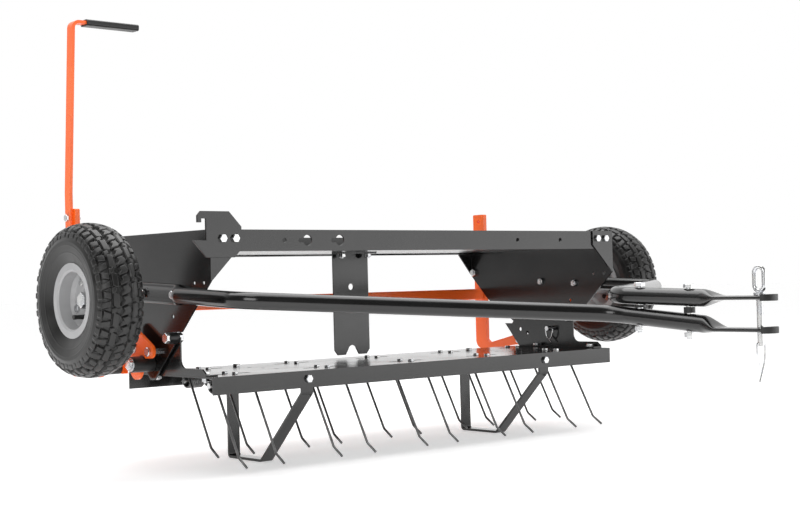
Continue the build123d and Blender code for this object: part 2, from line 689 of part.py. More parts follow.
with BuildPart() as frame_washers:
    for side in (-1, 1):
        for plane_x, place, radius, bore in (
            (PLATE_OUT + PEG_LENGTH, PEG, 12.0, M10[0] / 2),
            (HOOK_OUT, HOOK_BOLT, 11.5, M8[0] / 2),
        ):
            with BuildSketch(Plane.YZ.offset(side * plane_x)):
                with Locations(place):
                    Circle(radius)
                    Circle(bore + THREAD_GAP, mode=Mode.SUBTRACT)
            extrude(amount=side * WASHER)
frame_washers.part.label = "frame_washers"
export_step(frame_washers.part, "parts/frame_washers.step")

with BuildPart() as frame_nuts:
    for seat, facing, grip, thread in frame_joints:
        with Locations(nut_place(seat, facing, grip)):
            add(nut_shape(thread))
frame_nuts.part.label = "frame_nuts"
export_step(frame_nuts.part, "parts/frame_nuts.step")

# ---------------------------------------------------------------------------
# Tray with its side brackets and parking stands
# ---------------------------------------------------------------------------
SLOT_X = COIL_START + (COIL_TURNS * WIRE) / 2

with BuildPart() as tray:
    with BuildSketch(Plane.XY.offset(TRAY_UNDER_Z)):
        with Locations((0, (TRAY_FRONT_Y + TRAY_REAR_Y) / 2)):
            Rectangle(2 * WEB_OUT, TRAY_DEPTH)
        for _, x, y in tines:
            with Locations((x - SLOT_X, y), (x + SLOT_X, y)):
                Rectangle(COIL_TURNS * WIRE + 1.0, 10.0, mode=Mode.SUBTRACT)
        for side in (-1, 1):
            with Locations(*[(side * STAND_X, STAND_TOP_Y - 43.0 * hole) for hole in (1, 2, 3)]):
                Circle(M8[0] / 2 + HOLE_GAP, mode=Mode.SUBTRACT)
        for seat, facing, _, thread in tray_joints:
            if facing == "up":
                with Locations(seat[:2]):
                    Circle(thread[0] / 2 + HOLE_GAP, mode=Mode.SUBTRACT)
    extrude(amount=SHEET)
    for flange_y in (TRAY_FRONT_Y + SHEET, TRAY_REAR_Y):
        with BuildSketch(Plane.XZ.offset(-flange_y)):
            with Locations((0, TRAY_TOP_Z - TRAY_FLANGE / 2)):
                Rectangle(2 * WEB_OUT, TRAY_FLANGE)
            if flange_y < TRAY_REAR_Y:
                with Locations((-STAND_X, STAND_FRONT_Z), (STAND_X, STAND_FRONT_Z)):
                    Circle(M8[0] / 2 + HOLE_GAP, mode=Mode.SUBTRACT)
        extrude(amount=SHEET)
tray.part.label = "tray"
export_step(tray.part, "parts/tray.step")

for side, name in ((-1, "tray_bracket_left"), (1, "tray_bracket_right")):
    with BuildPart() as tray_bracket:
        with BuildSketch(Plane.YZ.offset(WEB_OUT - SHEET)):
            with BuildLine():
                Polyline(
                    (AXLE_Y - 40.0, WEB_TOP_Z),
                    (AXLE_Y + 136.0, WEB_TOP_Z),
                    (AXLE_Y + 146.0, WEB_TOP_Z - 15.0),
                    (AXLE_Y + 168.6, WEB_TOP_Z - 15.0),
                    (AXLE_Y + 125.6, TRAY_TOP_Z),
                    (AXLE_Y - 118.0, TRAY_TOP_Z),
                    (AXLE_Y - 118.0, TRAY_TOP_Z + 5.0),
                    (AXLE_Y - 108.0, TRAY_TOP_Z + 12.6),
                    (AXLE_Y - 55.0, TRAY_TOP_Z + 12.6),
                    close=False,
                )
                RadiusArc((AXLE_Y - 55.0, TRAY_TOP_Z + 12.6), (AXLE_Y - 40.0, TRAY_TOP_Z + 27.6), -15.0)
                Line((AXLE_Y - 40.0, TRAY_TOP_Z + 27.6), (AXLE_Y - 40.0, WEB_TOP_Z))
            make_face()
            with Locations(LOCATOR):
                Circle(M10[0] / 2 + HOLE_GAP, mode=Mode.SUBTRACT)
            with Locations(LATCH):
                Circle(LATCH_PIN / 2 + RUNNING_GAP, mode=Mode.SUBTRACT)
            with Locations((AXLE_Y + 98.0, 200.0), (AXLE_Y + 121.0, 208.0)):
                Circle(4.25, mode=Mode.SUBTRACT)
        extrude(amount=SHEET)
        with BuildSketch(Plane.XY.offset(TRAY_TOP_Z)):
            with Locations((WEB_OUT - FOOT / 2, AXLE_Y - 16.0)):
                Rectangle(FOOT, 204.0)
            with Locations(*[(FOOT_BOLT_X, y) for y in WEB_FOOT_Y]):
                Circle(M8[0] / 2 + HOLE_GAP, mode=Mode.SUBTRACT)
        extrude(amount=SHEET)
        if side < 0:
            mirror(about=Plane.YZ, mode=Mode.REPLACE)
    tray_bracket.part.label = name
    export_step(tray_bracket.part, f"parts/{name}.step")

# The locating bolts join the tray brackets, so their nuts lie against the webs
for side in (-1, 1):
    seat = (side * (WEB_OUT + LOCATOR_LENGTH), *LOCATOR)
    tray_joints.append((seat, OUTWARD[side], LOCATOR_LENGTH + SHEET, M10))

with BuildPart() as tray_bolts:
    for seat, facing, grip, thread in tray_joints:
        with Locations(head_place(seat, facing)):
            add(bolt_shape(thread, reach(thread, grip)))
tray_bolts.part.label = "tray_bolts"
export_step(tray_bolts.part, "parts/tray_bolts.step")

with BuildPart() as tray_nuts:
    for seat, facing, grip, thread in tray_joints:
        with Locations(nut_place(seat, facing, grip)):
            add(nut_shape(thread))
tray_nuts.part.label = "tray_nuts"
export_step(tray_nuts.part, "parts/tray_nuts.step")

TAB_Y = TRAY_FRONT_Y + SHEET + STAND_THICK / 2
for side, name in ((-1, "stand_left"), (1, "stand_right")):
    half = STAND_THICK / 2
    with BuildPart() as stand:
        with BuildLine(Plane.YZ.offset(side * STAND_X)) as strip:
            FilletPolyline(
                (TAB_Y, TRAY_UNDER_Z - 0.5),
                (TAB_Y, 131.0),
                (AXLE_Y + STAND_FOOT_FRONT, half),
                (AXLE_Y + STAND_FOOT_REAR, half),
                (AXLE_Y + STAND_FOOT_REAR, TRAY_UNDER_Z - half),
                (STAND_TOP_Y - 12.0, TRAY_UNDER_Z - half),
                radius=6.0,
            )
        with BuildSketch(Plane(origin=strip.line @ 0, x_dir=(1, 0, 0), z_dir=strip.line % 0)):
            Rectangle(STAND_WIDTH, STAND_THICK)
        sweep(path=strip.line)
        with Locations(head_place((side * STAND_X, STAND_TOP_Y, TRAY_UNDER_Z), "up")):
            Hole(M8[0] / 2 + HOLE_GAP, depth=2 * STAND_THICK)
        with Locations(head_place((side * STAND_X, TRAY_FRONT_Y, STAND_FRONT_Z), "front")):
            Hole(M8[0] / 2 + HOLE_GAP, depth=3 * STAND_THICK)
    stand.part.label = name
    export_step(stand.part, f"parts/{name}.step")

# ---------------------------------------------------------------------------
# Spring tines with their rods and clamps
# ---------------------------------------------------------------------------
CLAMP_WIDTH = 14.0
CLAMP_IN = TINE_ROD / 2 + THREAD_GAP
CLAMP_OUT = CLAMP_IN + SHEET
ROD_HALF = COIL_START + COIL_TURNS * WIRE + 3.0

with BuildPart() as tine_rods:
    for _, x, y in tines:
        with BuildSketch(Plane.YZ.offset(x - ROD_HALF)):
            with Locations((y, COIL_Z)):
                Circle(TINE_ROD / 2)
        extrude(amount=2 * ROD_HALF)
tine_rods.part.label = "tine_rods"
export_step(tine_rods.part, "parts/tine_rods.step")

with BuildPart() as tine_clamps:
    for _, x, y in tines:
        with BuildSketch(Plane.YZ.offset(x - CLAMP_WIDTH / 2)):
            with Locations((y, TRAY_UNDER_Z - SHEET / 2)):
                Rectangle(48.0, SHEET)
            with Locations((y, (COIL_Z + TRAY_UNDER_Z) / 2)):
                Rectangle(2 * CLAMP_OUT, TRAY_UNDER_Z - COIL_Z)
            with Locations((y, COIL_Z)):
                Circle(CLAMP_OUT)
            with Locations((y, (COIL_Z + TRAY_UNDER_Z) / 2 + 0.5)):
                Rectangle(2 * CLAMP_IN, TRAY_UNDER_Z - COIL_Z + 1.0, mode=Mode.SUBTRACT)
            with Locations((y, COIL_Z)):
                Circle(CLAMP_IN, mode=Mode.SUBTRACT)
        extrude(amount=CLAMP_WIDTH)
        with BuildSketch(Plane.XY.offset(TRAY_UNDER_Z - SHEET)):
            with Locations((x, y - CLAMP_BOLT), (x, y + CLAMP_BOLT)):
                Circle(M6[0] / 2 + HOLE_GAP)
        extrude(amount=SHEET, mode=Mode.SUBTRACT)
tine_clamps.part.label = "tine_clamps"
export_step(tine_clamps.part, "parts/tine_clamps.step")

lean = math.radians(LEG_LEAN)
along_leg = (-math.sin(lean), -math.cos(lean))
leave = (-COIL_R * math.cos(lean), COIL_R * math.sin(lean))
leg_run = (LEG_DROP + leave[1]) / math.cos(lean)
leg_bend = (leave[0] + leg_run * along_leg[0], leave[1] + leg_run * along_leg[1])
leg_tip = (leg_bend[0] + TOE[0], leg_bend[1] + TOE[1])
TURN_PITCH = WIRE - 0.1
FIRST_TURN = COIL_START + WIRE / 2
LAST_TURN = FIRST_TURN + (COIL_TURNS - 1) * TURN_PITCH

with BuildPart() as double_tine:
    with BuildSketch(Plane.XY):
        for side in (-1, 1):
            for turn in range(COIL_TURNS):
                with Locations((side * (FIRST_TURN + turn * TURN_PITCH), COIL_R)):
                    Circle(WIRE / 2)
    revolve(axis=Axis.X)
    # Bridge between the two coils, along their front
    with BuildSketch(Plane.YZ.offset(-FIRST_TURN)):
        with Locations((-COIL_R, 0)):
            Circle(WIRE / 2)
    extrude(amount=2 * FIRST_TURN)
    for side in (-1, 1):
        with BuildLine(Plane.YZ.offset(side * LAST_TURN)) as leg:
            FilletPolyline(leave, leg_bend, leg_tip, radius=12.0)
        with BuildSketch(Plane(origin=leg.line @ 0, z_dir=leg.line % 0)):
            Circle(WIRE / 2)
        sweep(path=leg.line)

for name, x, y in tines:
    with BuildPart() as tine:
        with Locations((x, y, COIL_Z)):
            add(double_tine.part)
    tine.part.label = name
    export_step(tine.part, f"parts/{name}.step")

# ---------------------------------------------------------------------------
# Hitch pin with its clip, and the two latch pins with theirs
# ---------------------------------------------------------------------------
PIN_BOTTOM_Z = 211.0
CLEVIS_TOP_Z = CLEVIS_MID_Z + CLEVIS_GAP / 2 + CLEVIS_THICK
PIN_COLLAR = 4.0
HANDLE_ROD = 7.0
HANDLE_HEIGHT = 43.0
HANDLE_WIDTH = 24.0
CLIP_WIRE = 3.0
CLIP_Z = 216.0

with BuildPart() as hitch_pin:
    with BuildSketch(Plane.XY.offset(PIN_BOTTOM_Z)):
        with Locations((0, HITCH_Y)):
            Circle(HITCH_PIN / 2)
    extrude(amount=CLEVIS_TOP_Z - PIN_BOTTOM_Z)
    chamfer(hitch_pin.faces().sort_by(Axis.Z)[0].edges(), 1.5)
    with BuildSketch(Plane.XY.offset(CLEVIS_TOP_Z + THREAD_GAP)):
        with Locations((0, HITCH_Y)):
            Circle(9.0)
    extrude(amount=PIN_COLLAR)
    # Connects the collar to the shank across the bore's clearance
    with BuildSketch(Plane.XY.offset(CLEVIS_TOP_Z - 1.0)):
        with Locations((0, HITCH_Y)):
            Circle(HITCH_PIN / 2)
    extrude(amount=PIN_COLLAR)
    handle_z = CLEVIS_TOP_Z + PIN_COLLAR + HANDLE_HEIGHT / 2 - 1.0
    with BuildLine(Plane.YZ) as handle:
        turn = (HANDLE_WIDTH - HANDLE_ROD) / 2
        half = HANDLE_HEIGHT / 2 - HANDLE_ROD / 2 - turn
        Line((HITCH_Y - turn, handle_z - half), (HITCH_Y - turn, handle_z + half))
        ThreePointArc(
            (HITCH_Y - turn, handle_z + half),
            (HITCH_Y, handle_z + half + turn),
            (HITCH_Y + turn, handle_z + half),
        )
        Line((HITCH_Y + turn, handle_z + half), (HITCH_Y + turn, handle_z - half))
        ThreePointArc(
            (HITCH_Y + turn, handle_z - half),
            (HITCH_Y, handle_z - half - turn),
            (HITCH_Y - turn, handle_z - half),
        )
    with BuildSketch(Plane(origin=handle.line @ 0, z_dir=handle.line % 0)):
        Circle(HANDLE_ROD / 2)
    sweep(path=handle.line)
    with BuildSketch(Plane.YZ.offset(-HITCH_PIN)):
        with Locations((HITCH_Y, CLIP_Z)):
            Circle(CLIP_WIRE / 2 + RUNNING_GAP)
    extrude(amount=2 * HITCH_PIN, mode=Mode.SUBTRACT)
hitch_pin.part.label = "hitch_pin"
export_step(hitch_pin.part, "parts/hitch_pin.step")


def clip_shape(width, drop, tail):
    """Wire clip that hangs from a straight run along X through a cross hole at its origin."""
    half = width / 2
    with BuildPart() as clip:
        with BuildLine(Plane.XZ) as wire:
            FilletPolyline(
                (-half + 4.0, -drop - tail),
                (half - 3.0, -drop),
                (half, -drop / 2),
                (half, 0),
                (-half, 0),
                (-half, -drop / 2),
                (-half + 3.0, -drop),
                (-2.0, -drop - 0.45 * tail),
                radius=2.6,
            )
        with BuildSketch(Plane(origin=wire.line @ 0, z_dir=wire.line % 0)):
            Circle(CLIP_WIRE / 2)
        sweep(path=wire.line)
    return clip.part


with BuildPart() as hitch_clip:
    with Locations((0, HITCH_Y, CLIP_Z)):
        add(clip_shape(20.0, 30.0, 28.0))
hitch_clip.part.label = "hitch_clip"
export_step(hitch_clip.part, "parts/hitch_clip.step")

LATCH_TAIL = 18.0          # latch pin's end, inside the bracket's web
LATCH_CLIP = 9.5           # clip's cross hole, inside the bracket's web
web_in = WEB_OUT - SHEET

for side, end in ((-1, "left"), (1, "right")):
    name = f"latch_pin_{end}"
    with BuildPart() as latch_pin:
        with BuildSketch(Plane.YZ.offset(side * (web_in - LATCH_TAIL))):
            with Locations(LATCH):
                Circle(LATCH_PIN / 2)
        extrude(amount=side * (HOOK_OUT + 1.0 - web_in + LATCH_TAIL))
        with BuildSketch(Plane.YZ.offset(side * (HOOK_OUT + THREAD_GAP))):
            with Locations(LATCH):
                Circle(8.0)
        extrude(amount=side * 5.0)
        chamfer(latch_pin.faces().sort_by(Axis.X)[-1 if side > 0 else 0].edges(), 1.0)
        with BuildSketch(Plane.XZ.offset(-LATCH[0] - LATCH_PIN)):
            with Locations((side * (web_in - LATCH_CLIP), LATCH[1])):
                Circle(CLIP_WIRE / 2 + RUNNING_GAP)
        extrude(amount=2 * LATCH_PIN, mode=Mode.SUBTRACT)
    latch_pin.part.label = name
    export_step(latch_pin.part, f"parts/{name}.step")

    name = f"latch_clip_{end}"
    with BuildPart() as latch_clip:
        with Locations(Location((side * (web_in - LATCH_CLIP), *LATCH), (0, 0, 90))):
            add(clip_shape(20.0, 18.0, 12.0))
    latch_clip.part.label = name
    export_step(latch_clip.part, f"parts/{name}.step")

# ---------------------------------------------------------------------------
# Lift frame: arms, crossbar, wheel carriers and lever
# ---------------------------------------------------------------------------
for side, name in ((-1, "lift_arm_left"), (1, "lift_arm_right")):
    with BuildPart() as lift_arm:
        with BuildSketch(Plane.YZ.offset(side * ARM_IN)):
            with BuildLine():
                Polyline(
                    (ARM_FRONT_Y, ARM_TOP_Z),
                    (ARM_FRONT_Y + ARM_WIDTH, ARM_TOP_Z),
                    (ARM_FRONT_Y + ARM_WIDTH, ARM_LOW_Z),
                    (ARM_FRONT_Y - 10.0, ARM_LOW_Z),
                    (CARRIER_BOLTS[1][0] + 15.0, ARM_LOW_Z + LEG_RISE),
                    (CARRIER_BOLTS[0][0] - 13.0, ARM_LOW_Z + LEG_RISE),
                    (CARRIER_BOLTS[0][0] - 13.0, ARM_LOW_Z + LEG_RISE + LOW_BAR),
                    (CARRIER_BOLTS[1][0] + 15.0, ARM_LOW_Z + LEG_RISE + LOW_BAR),
                    (ARM_FRONT_Y - 10.0, ARM_LOW_Z + 14.0),
                    (ARM_FRONT_Y, ARM_LOW_Z + 22.0),
                    close=True,
                )
            make_face()
        extrude(amount=side * ARM_THICK)
        fillet(lift_arm.edges().filter_by(Axis.X).sort_by(Axis.Z)[-2:], 3.0)
        fillet(lift_arm.edges().filter_by(Axis.X).group_by(Axis.Z)[0].sort_by(Axis.Y)[-1], 20.0)
        with BuildSketch(Plane.YZ.offset(side * ARM_IN)):
            with Locations((PIVOT_Y, PIVOT_Z)):
                Circle(M10[0] / 2 + RUNNING_GAP)
            with Locations(*[(ARM_MID_Y, z) for z in LEVER_BOLT_Z]):
                Circle(M8[0] / 2 + HOLE_GAP)
            with Locations(*CARRIER_BOLTS):
                Circle(M10[0] / 2 + HOLE_GAP)
        extrude(amount=side * ARM_THICK, mode=Mode.SUBTRACT)
    lift_arm.part.label = name
    export_step(lift_arm.part, f"parts/{name}.step")

CROSSBAR_Y = ARM_FRONT_Y + 4.0
CROSSBAR_Z = 275.0
with BuildPart() as lift_crossbar:
    with BuildSketch(Plane.YZ.offset(-ARM_IN)):
        with Locations((CROSSBAR_Y + CROSSBAR / 2, CROSSBAR_Z + CROSSBAR / 2)):
            RectangleRounded(CROSSBAR, CROSSBAR, 3.0)
            RectangleRounded(CROSSBAR_BORE, CROSSBAR_BORE, 1.0, mode=Mode.SUBTRACT)
    extrude(amount=2 * ARM_IN)
lift_crossbar.part.label = "lift_crossbar"
export_step(lift_crossbar.part, "parts/lift_crossbar.step")

for side, name in ((-1, "wheel_carrier_left"), (1, "wheel_carrier_right")):
    with BuildPart() as wheel_carrier:
        with BuildSketch(Plane.YZ.offset(side * CARRIER_IN)):
            with Locations((AXLE_Y, AXLE_Z)):
                Circle(24.0)
            with Locations(*CARRIER_BOLTS):
                Circle(16.0)
            make_hull()
            with Locations((AXLE_Y, AXLE_Z)):
                Circle(M16[0] / 2 + HOLE_GAP, mode=Mode.SUBTRACT)
            with Locations(*CARRIER_BOLTS):
                Circle(M10[0] / 2 + HOLE_GAP, mode=Mode.SUBTRACT)
        extrude(amount=side * CARRIER_THICK)
    wheel_carrier.part.label = name
    export_step(wheel_carrier.part, f"parts/{name}.step")

with BuildPart() as lift_sleeves:
    for side in (-1, 1):
        with BuildSketch(Plane.YZ.offset(side * ARM_OUT)):
            with Locations(*CARRIER_BOLTS):
                Circle(12.0)
            with Locations(*CARRIER_BOLTS):
                Circle(M10[0] / 2 + HOLE_GAP, mode=Mode.SUBTRACT)
        extrude(amount=side * CARRIER_GAP)
lift_sleeves.part.label = "lift_sleeves"
export_step(lift_sleeves.part, "parts/lift_sleeves.step")

LEVER_IN = ARM_OUT
GRIP_START_X = -(ARM_OUT - 24.0)
LEVER_FOOT_Z = 398.0
LEVER_TOP_Y = ARM_MID_Y - LEVER_LEAN
with BuildPart() as lift_lever:
    with BuildSketch(Plane.YZ.offset(-LEVER_IN)):
        with BuildLine():
            Polyline(
                (ARM_MID_Y - LEVER_WIDTH / 2, LEVER_FOOT_Z),
                (ARM_MID_Y + LEVER_WIDTH / 2, LEVER_FOOT_Z),
                (ARM_MID_Y + LEVER_WIDTH / 2, LEVER_BEND_Z),
                (LEVER_TOP_Y + LEVER_WIDTH / 2, LEVER_TOP_Z - 16.0),
                (LEVER_TOP_Y - LEVER_WIDTH / 2, LEVER_TOP_Z - 16.0),
                (ARM_MID_Y - LEVER_WIDTH / 2, LEVER_BEND_Z),
                close=True,
            )
        make_face()
        with Locations(*[(ARM_MID_Y, z) for z in LEVER_BOLT_Z]):
            Circle(M8[0] / 2 + HOLE_GAP, mode=Mode.SUBTRACT)
    extrude(amount=-LEVER_THICK)
    with BuildLine(Plane.XZ.offset(-LEVER_TOP_Y)) as hand:
        FilletPolyline(
            (-(LEVER_IN + LEVER_THICK / 2), LEVER_TOP_Z - 17.0),
            (-(LEVER_IN + LEVER_THICK / 2), LEVER_TOP_Z - LEVER_THICK / 2),
            (GRIP_START_X + GRIP_LENGTH - 3.0, LEVER_TOP_Z - LEVER_THICK / 2),
            radius=12.0,
        )
    with BuildSketch(Plane(origin=hand.line @ 0, x_dir=(0, 1, 0), z_dir=hand.line % 0)):
        Rectangle(LEVER_WIDTH, LEVER_THICK)
    sweep(path=hand.line)
lift_lever.part.label = "lift_lever"
export_step(lift_lever.part, "parts/lift_lever.step")

GRIP_WALL = 3.0
with BuildPart() as lever_grip:
    grip_plane = Plane.YZ.offset(GRIP_START_X)
    with BuildSketch(grip_plane):
        with Locations((LEVER_TOP_Y, LEVER_TOP_Z - LEVER_THICK / 2)):
            RectangleRounded(LEVER_WIDTH + 2 * GRIP_WALL, LEVER_THICK + 2 * GRIP_WALL, 4.0)
    extrude(amount=GRIP_LENGTH)
    with BuildSketch(grip_plane):
        with Locations((LEVER_TOP_Y, LEVER_TOP_Z - LEVER_THICK / 2)):
            Rectangle(LEVER_WIDTH, LEVER_THICK)
    extrude(amount=GRIP_LENGTH - 3.0, mode=Mode.SUBTRACT)
lever_grip.part.label = "lever_grip"
export_step(lever_grip.part, "parts/lever_grip.step")

HUB_OUT = TRACK_HALF + 5.0               # outer end of the wheel's hub
AXLE_SEAT = HUB_OUT + 1.0
for side in (-1, 1):
    seat = (side * AXLE_SEAT, AXLE_Y, AXLE_Z)
    lift_joints.append((seat, OUTWARD[side], AXLE_SEAT - CARRIER_IN, M16))

with BuildPart() as lift_bolts:
    for seat, facing, grip, thread in lift_joints:
        with Locations(head_place(seat, facing)):
            add(bolt_shape(thread, reach(thread, grip)))
lift_bolts.part.label = "lift_bolts"
export_step(lift_bolts.part, "parts/lift_bolts.step")

with BuildPart() as lift_nuts:
    for seat, facing, grip, thread in lift_joints:
        with Locations(nut_place(seat, facing, grip)):
            add(nut_shape(thread))
lift_nuts.part.label = "lift_nuts"
export_step(lift_nuts.part, "parts/lift_nuts.step")

# ---------------------------------------------------------------------------
# Wheels: two-half steel rim, tubeless tyre, rim bolts and valve
# ---------------------------------------------------------------------------
HUB_IN = CARRIER_OUT + 1.5
TYRE_WALL = 7.0
VALVE_DROP = 27.5
VALVE_LENGTH = 26.0
BOLT_ANGLES = (67.0, 157.0, 247.0, 337.0)
half_rim = RIM_WIDTH / 2
half_tyre = TYRE_WIDTH / 2
WIDEST = 0.55 * (BEAD_SEAT + TYRE_RADIUS)    # radius at which the tyre is widest

for side, end in ((-1, "left"), (1, "right")):
    centre_x = side * TRACK_HALF
    # Profile planes: local X runs outboard from the wheel's middle, local Y is the radius
    profile = Plane(origin=(centre_x, AXLE_Y, AXLE_Z), x_dir=(side, 0, 0), z_dir=(0, -side, 0))
    spin = Axis((centre_x, AXLE_Y, AXLE_Z), (1, 0, 0))
    hub_in = HUB_IN - TRACK_HALF
    hub_out = HUB_OUT - TRACK_HALF
    bore = M16[0] / 2 + RUNNING_GAP

    name = f"rim_{end}"
    with BuildPart() as rim:
        with BuildSketch(profile):
            with BuildLine():
                Polyline(
                    (hub_in, bore),
                    (hub_out, bore),
                    (hub_out, HUB_RADIUS),
                    (RIM_STEEL, HUB_RADIUS + 4.0),
                    (RIM_STEEL, BEAD_SEAT - 8.0),
                    (6.0 + RIM_STEEL, BEAD_SEAT - RIM_STEEL),
                    (half_rim - RIM_STEEL, BEAD_SEAT - RIM_STEEL),
                    (half_rim, BEAD_SEAT + 1.0),
                    (half_rim, RIM_LIP),
                    (half_rim - RIM_STEEL, RIM_LIP),
                    (half_rim - RIM_STEEL, BEAD_SEAT),
                    (5.0, BEAD_SEAT),
                    (0, BEAD_SEAT - 6.0),
                    (-5.0, BEAD_SEAT),
                    (-half_rim + RIM_STEEL, BEAD_SEAT),
                    (-half_rim + RIM_STEEL, RIM_LIP),
                    (-half_rim, RIM_LIP),
                    (-half_rim, BEAD_SEAT + 1.0),
                    (-half_rim + RIM_STEEL, BEAD_SEAT - RIM_STEEL),
                    (-6.0 - RIM_STEEL, BEAD_SEAT - RIM_STEEL),
                    (-RIM_STEEL, BEAD_SEAT - 8.0),
                    (-RIM_STEEL, HUB_RADIUS + 4.0),
                    (hub_in, HUB_RADIUS),
                    close=True,
                )
            make_face()
        revolve(axis=spin)
        with BuildSketch(Plane.YZ.offset(centre_x - 10.0)):
            with Locations((AXLE_Y, AXLE_Z)):
                with Locations(*[
                    (RIM_BOLT_CIRCLE * math.cos(math.radians(a)), RIM_BOLT_CIRCLE * math.sin(math.radians(a)))
                    for a in BOLT_ANGLES
                ]):
                    Circle(M8[0] / 2 + HOLE_GAP)
            with Locations((AXLE_Y, AXLE_Z - VALVE_DROP)):
                Circle(4.5)
        extrude(amount=20.0, mode=Mode.SUBTRACT)
    rim.part.label = name
    export_step(rim.part, f"parts/{name}.step")

    name = f"rim_bolts_{end}"
    with BuildPart() as rim_bolts:
        for angle in BOLT_ANGLES:
            bolt_y = AXLE_Y + RIM_BOLT_CIRCLE * math.cos(math.radians(angle))
            bolt_z = AXLE_Z + RIM_BOLT_CIRCLE * math.sin(math.radians(angle))
            seat = (side * (TRACK_HALF + RIM_STEEL), bolt_y, bolt_z)
            with Locations(head_place(seat, OUTWARD[side])):
                add(bolt_shape(M8, reach(M8, 2 * RIM_STEEL)))
            with Locations(nut_place(seat, OUTWARD[side], 2 * RIM_STEEL)):
                add(nut_shape(M8))
    rim_bolts.part.label = name
    export_step(rim_bolts.part, f"parts/{name}.step")

    name = f"tyre_{end}"
    with BuildPart() as tyre:
        with BuildSketch(profile):
            bead_x = half_rim - RIM_STEEL
            with BuildLine():
                Line((bead_x, BEAD_SEAT), (bead_x, RIM_LIP + 2.0))
                ThreePointArc(
                    (bead_x, RIM_LIP + 2.0),
                    (half_tyre, WIDEST),
                    (half_tyre - 6.0, TYRE_RADIUS - 12.0),
                )
                ThreePointArc(
                    (half_tyre - 6.0, TYRE_RADIUS - 12.0),
                    (0, TYRE_RADIUS),
                    (-half_tyre + 6.0, TYRE_RADIUS - 12.0),
                )
                ThreePointArc(
                    (-half_tyre + 6.0, TYRE_RADIUS - 12.0),
                    (-half_tyre, WIDEST),
                    (-bead_x, RIM_LIP + 2.0),
                )
                Polyline(
                    (-bead_x, RIM_LIP + 2.0),
                    (-bead_x, BEAD_SEAT),
                    (-bead_x + 12.0, BEAD_SEAT),
                    (-bead_x + 8.0, RIM_LIP + 6.0),
                )
                ThreePointArc(
                    (-bead_x + 8.0, RIM_LIP + 6.0),
                    (-half_tyre + TYRE_WALL, WIDEST),
                    (-half_tyre + 6.0 + TYRE_WALL, TYRE_RADIUS - 14.0 - TYRE_WALL),
                )
                ThreePointArc(
                    (-half_tyre + 6.0 + TYRE_WALL, TYRE_RADIUS - 14.0 - TYRE_WALL),
                    (0, TYRE_RADIUS - 4.0 - TYRE_WALL),
                    (half_tyre - 6.0 - TYRE_WALL, TYRE_RADIUS - 14.0 - TYRE_WALL),
                )
                ThreePointArc(
                    (half_tyre - 6.0 - TYRE_WALL, TYRE_RADIUS - 14.0 - TYRE_WALL),
                    (half_tyre - TYRE_WALL, WIDEST),
                    (bead_x - 8.0, RIM_LIP + 6.0),
                )
                Polyline((bead_x - 8.0, RIM_LIP + 6.0), (bead_x - 12.0, BEAD_SEAT), (bead_x, BEAD_SEAT))
            make_face()
        revolve(axis=spin)
    tyre.part.label = name
    export_step(tyre.part, f"parts/{name}.step")

    name = f"valve_{end}"
    with BuildPart() as valve:
        with BuildSketch(Plane.YZ.offset(side * (TRACK_HALF - 7.0))):
            with Locations((AXLE_Y, AXLE_Z - VALVE_DROP)):
                Circle(4.5)
        extrude(amount=side * (7.0 + RIM_STEEL))
        with BuildSketch(Plane.YZ.offset(side * (TRACK_HALF + RIM_STEEL))):
            with Locations((AXLE_Y, AXLE_Z - VALVE_DROP)):
                Circle(6.0)
        extrude(amount=side * 3.0)
        with BuildSketch(Plane.YZ.offset(side * (TRACK_HALF + RIM_STEEL + 3.0))):
            with Locations((AXLE_Y, AXLE_Z - VALVE_DROP)):
                Circle(4.2)
        extrude(amount=side * (VALVE_LENGTH - 8.0), taper=2.0)
        with BuildSketch(Plane.YZ.offset(side * (TRACK_HALF + VALVE_LENGTH - 2.5))):
            with Locations((AXLE_Y, AXLE_Z - VALVE_DROP)):
                Circle(4.0)
        extrude(amount=side * 5.0)
    valve.part.label = name
    export_step(valve.part, f"parts/{name}.step")
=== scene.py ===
"""Looks of a tow-behind lawn dethatcher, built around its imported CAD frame."""

import json
import logging
import math
from dataclasses import dataclass, field
from enum import Enum
from typing import Callable, Sequence

import bpy
import numpy as np
from mathutils import Matrix, Vector

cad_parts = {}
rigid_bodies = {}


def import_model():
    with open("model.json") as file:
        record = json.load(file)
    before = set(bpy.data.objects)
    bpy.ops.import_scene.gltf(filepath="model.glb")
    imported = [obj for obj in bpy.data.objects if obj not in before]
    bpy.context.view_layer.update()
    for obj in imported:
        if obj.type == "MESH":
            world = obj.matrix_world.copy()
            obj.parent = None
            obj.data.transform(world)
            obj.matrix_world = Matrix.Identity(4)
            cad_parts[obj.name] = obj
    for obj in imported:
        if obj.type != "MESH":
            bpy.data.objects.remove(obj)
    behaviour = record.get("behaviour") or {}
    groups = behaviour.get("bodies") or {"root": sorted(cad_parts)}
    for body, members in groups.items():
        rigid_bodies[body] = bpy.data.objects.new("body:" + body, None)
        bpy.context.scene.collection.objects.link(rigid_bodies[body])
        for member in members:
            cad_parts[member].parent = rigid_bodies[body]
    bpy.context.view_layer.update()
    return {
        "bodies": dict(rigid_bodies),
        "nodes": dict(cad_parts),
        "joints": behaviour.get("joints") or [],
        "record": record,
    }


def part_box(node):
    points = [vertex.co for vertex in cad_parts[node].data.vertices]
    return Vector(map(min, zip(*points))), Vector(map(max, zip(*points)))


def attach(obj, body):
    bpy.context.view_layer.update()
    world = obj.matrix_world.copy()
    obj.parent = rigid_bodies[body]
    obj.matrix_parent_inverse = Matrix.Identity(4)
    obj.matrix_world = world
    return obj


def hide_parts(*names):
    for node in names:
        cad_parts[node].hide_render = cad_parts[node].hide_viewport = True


LOG = logging.getLogger("dethatcher")
MM = 0.001

Rgb = tuple[float, float, float]
Point = tuple[float, float, float]


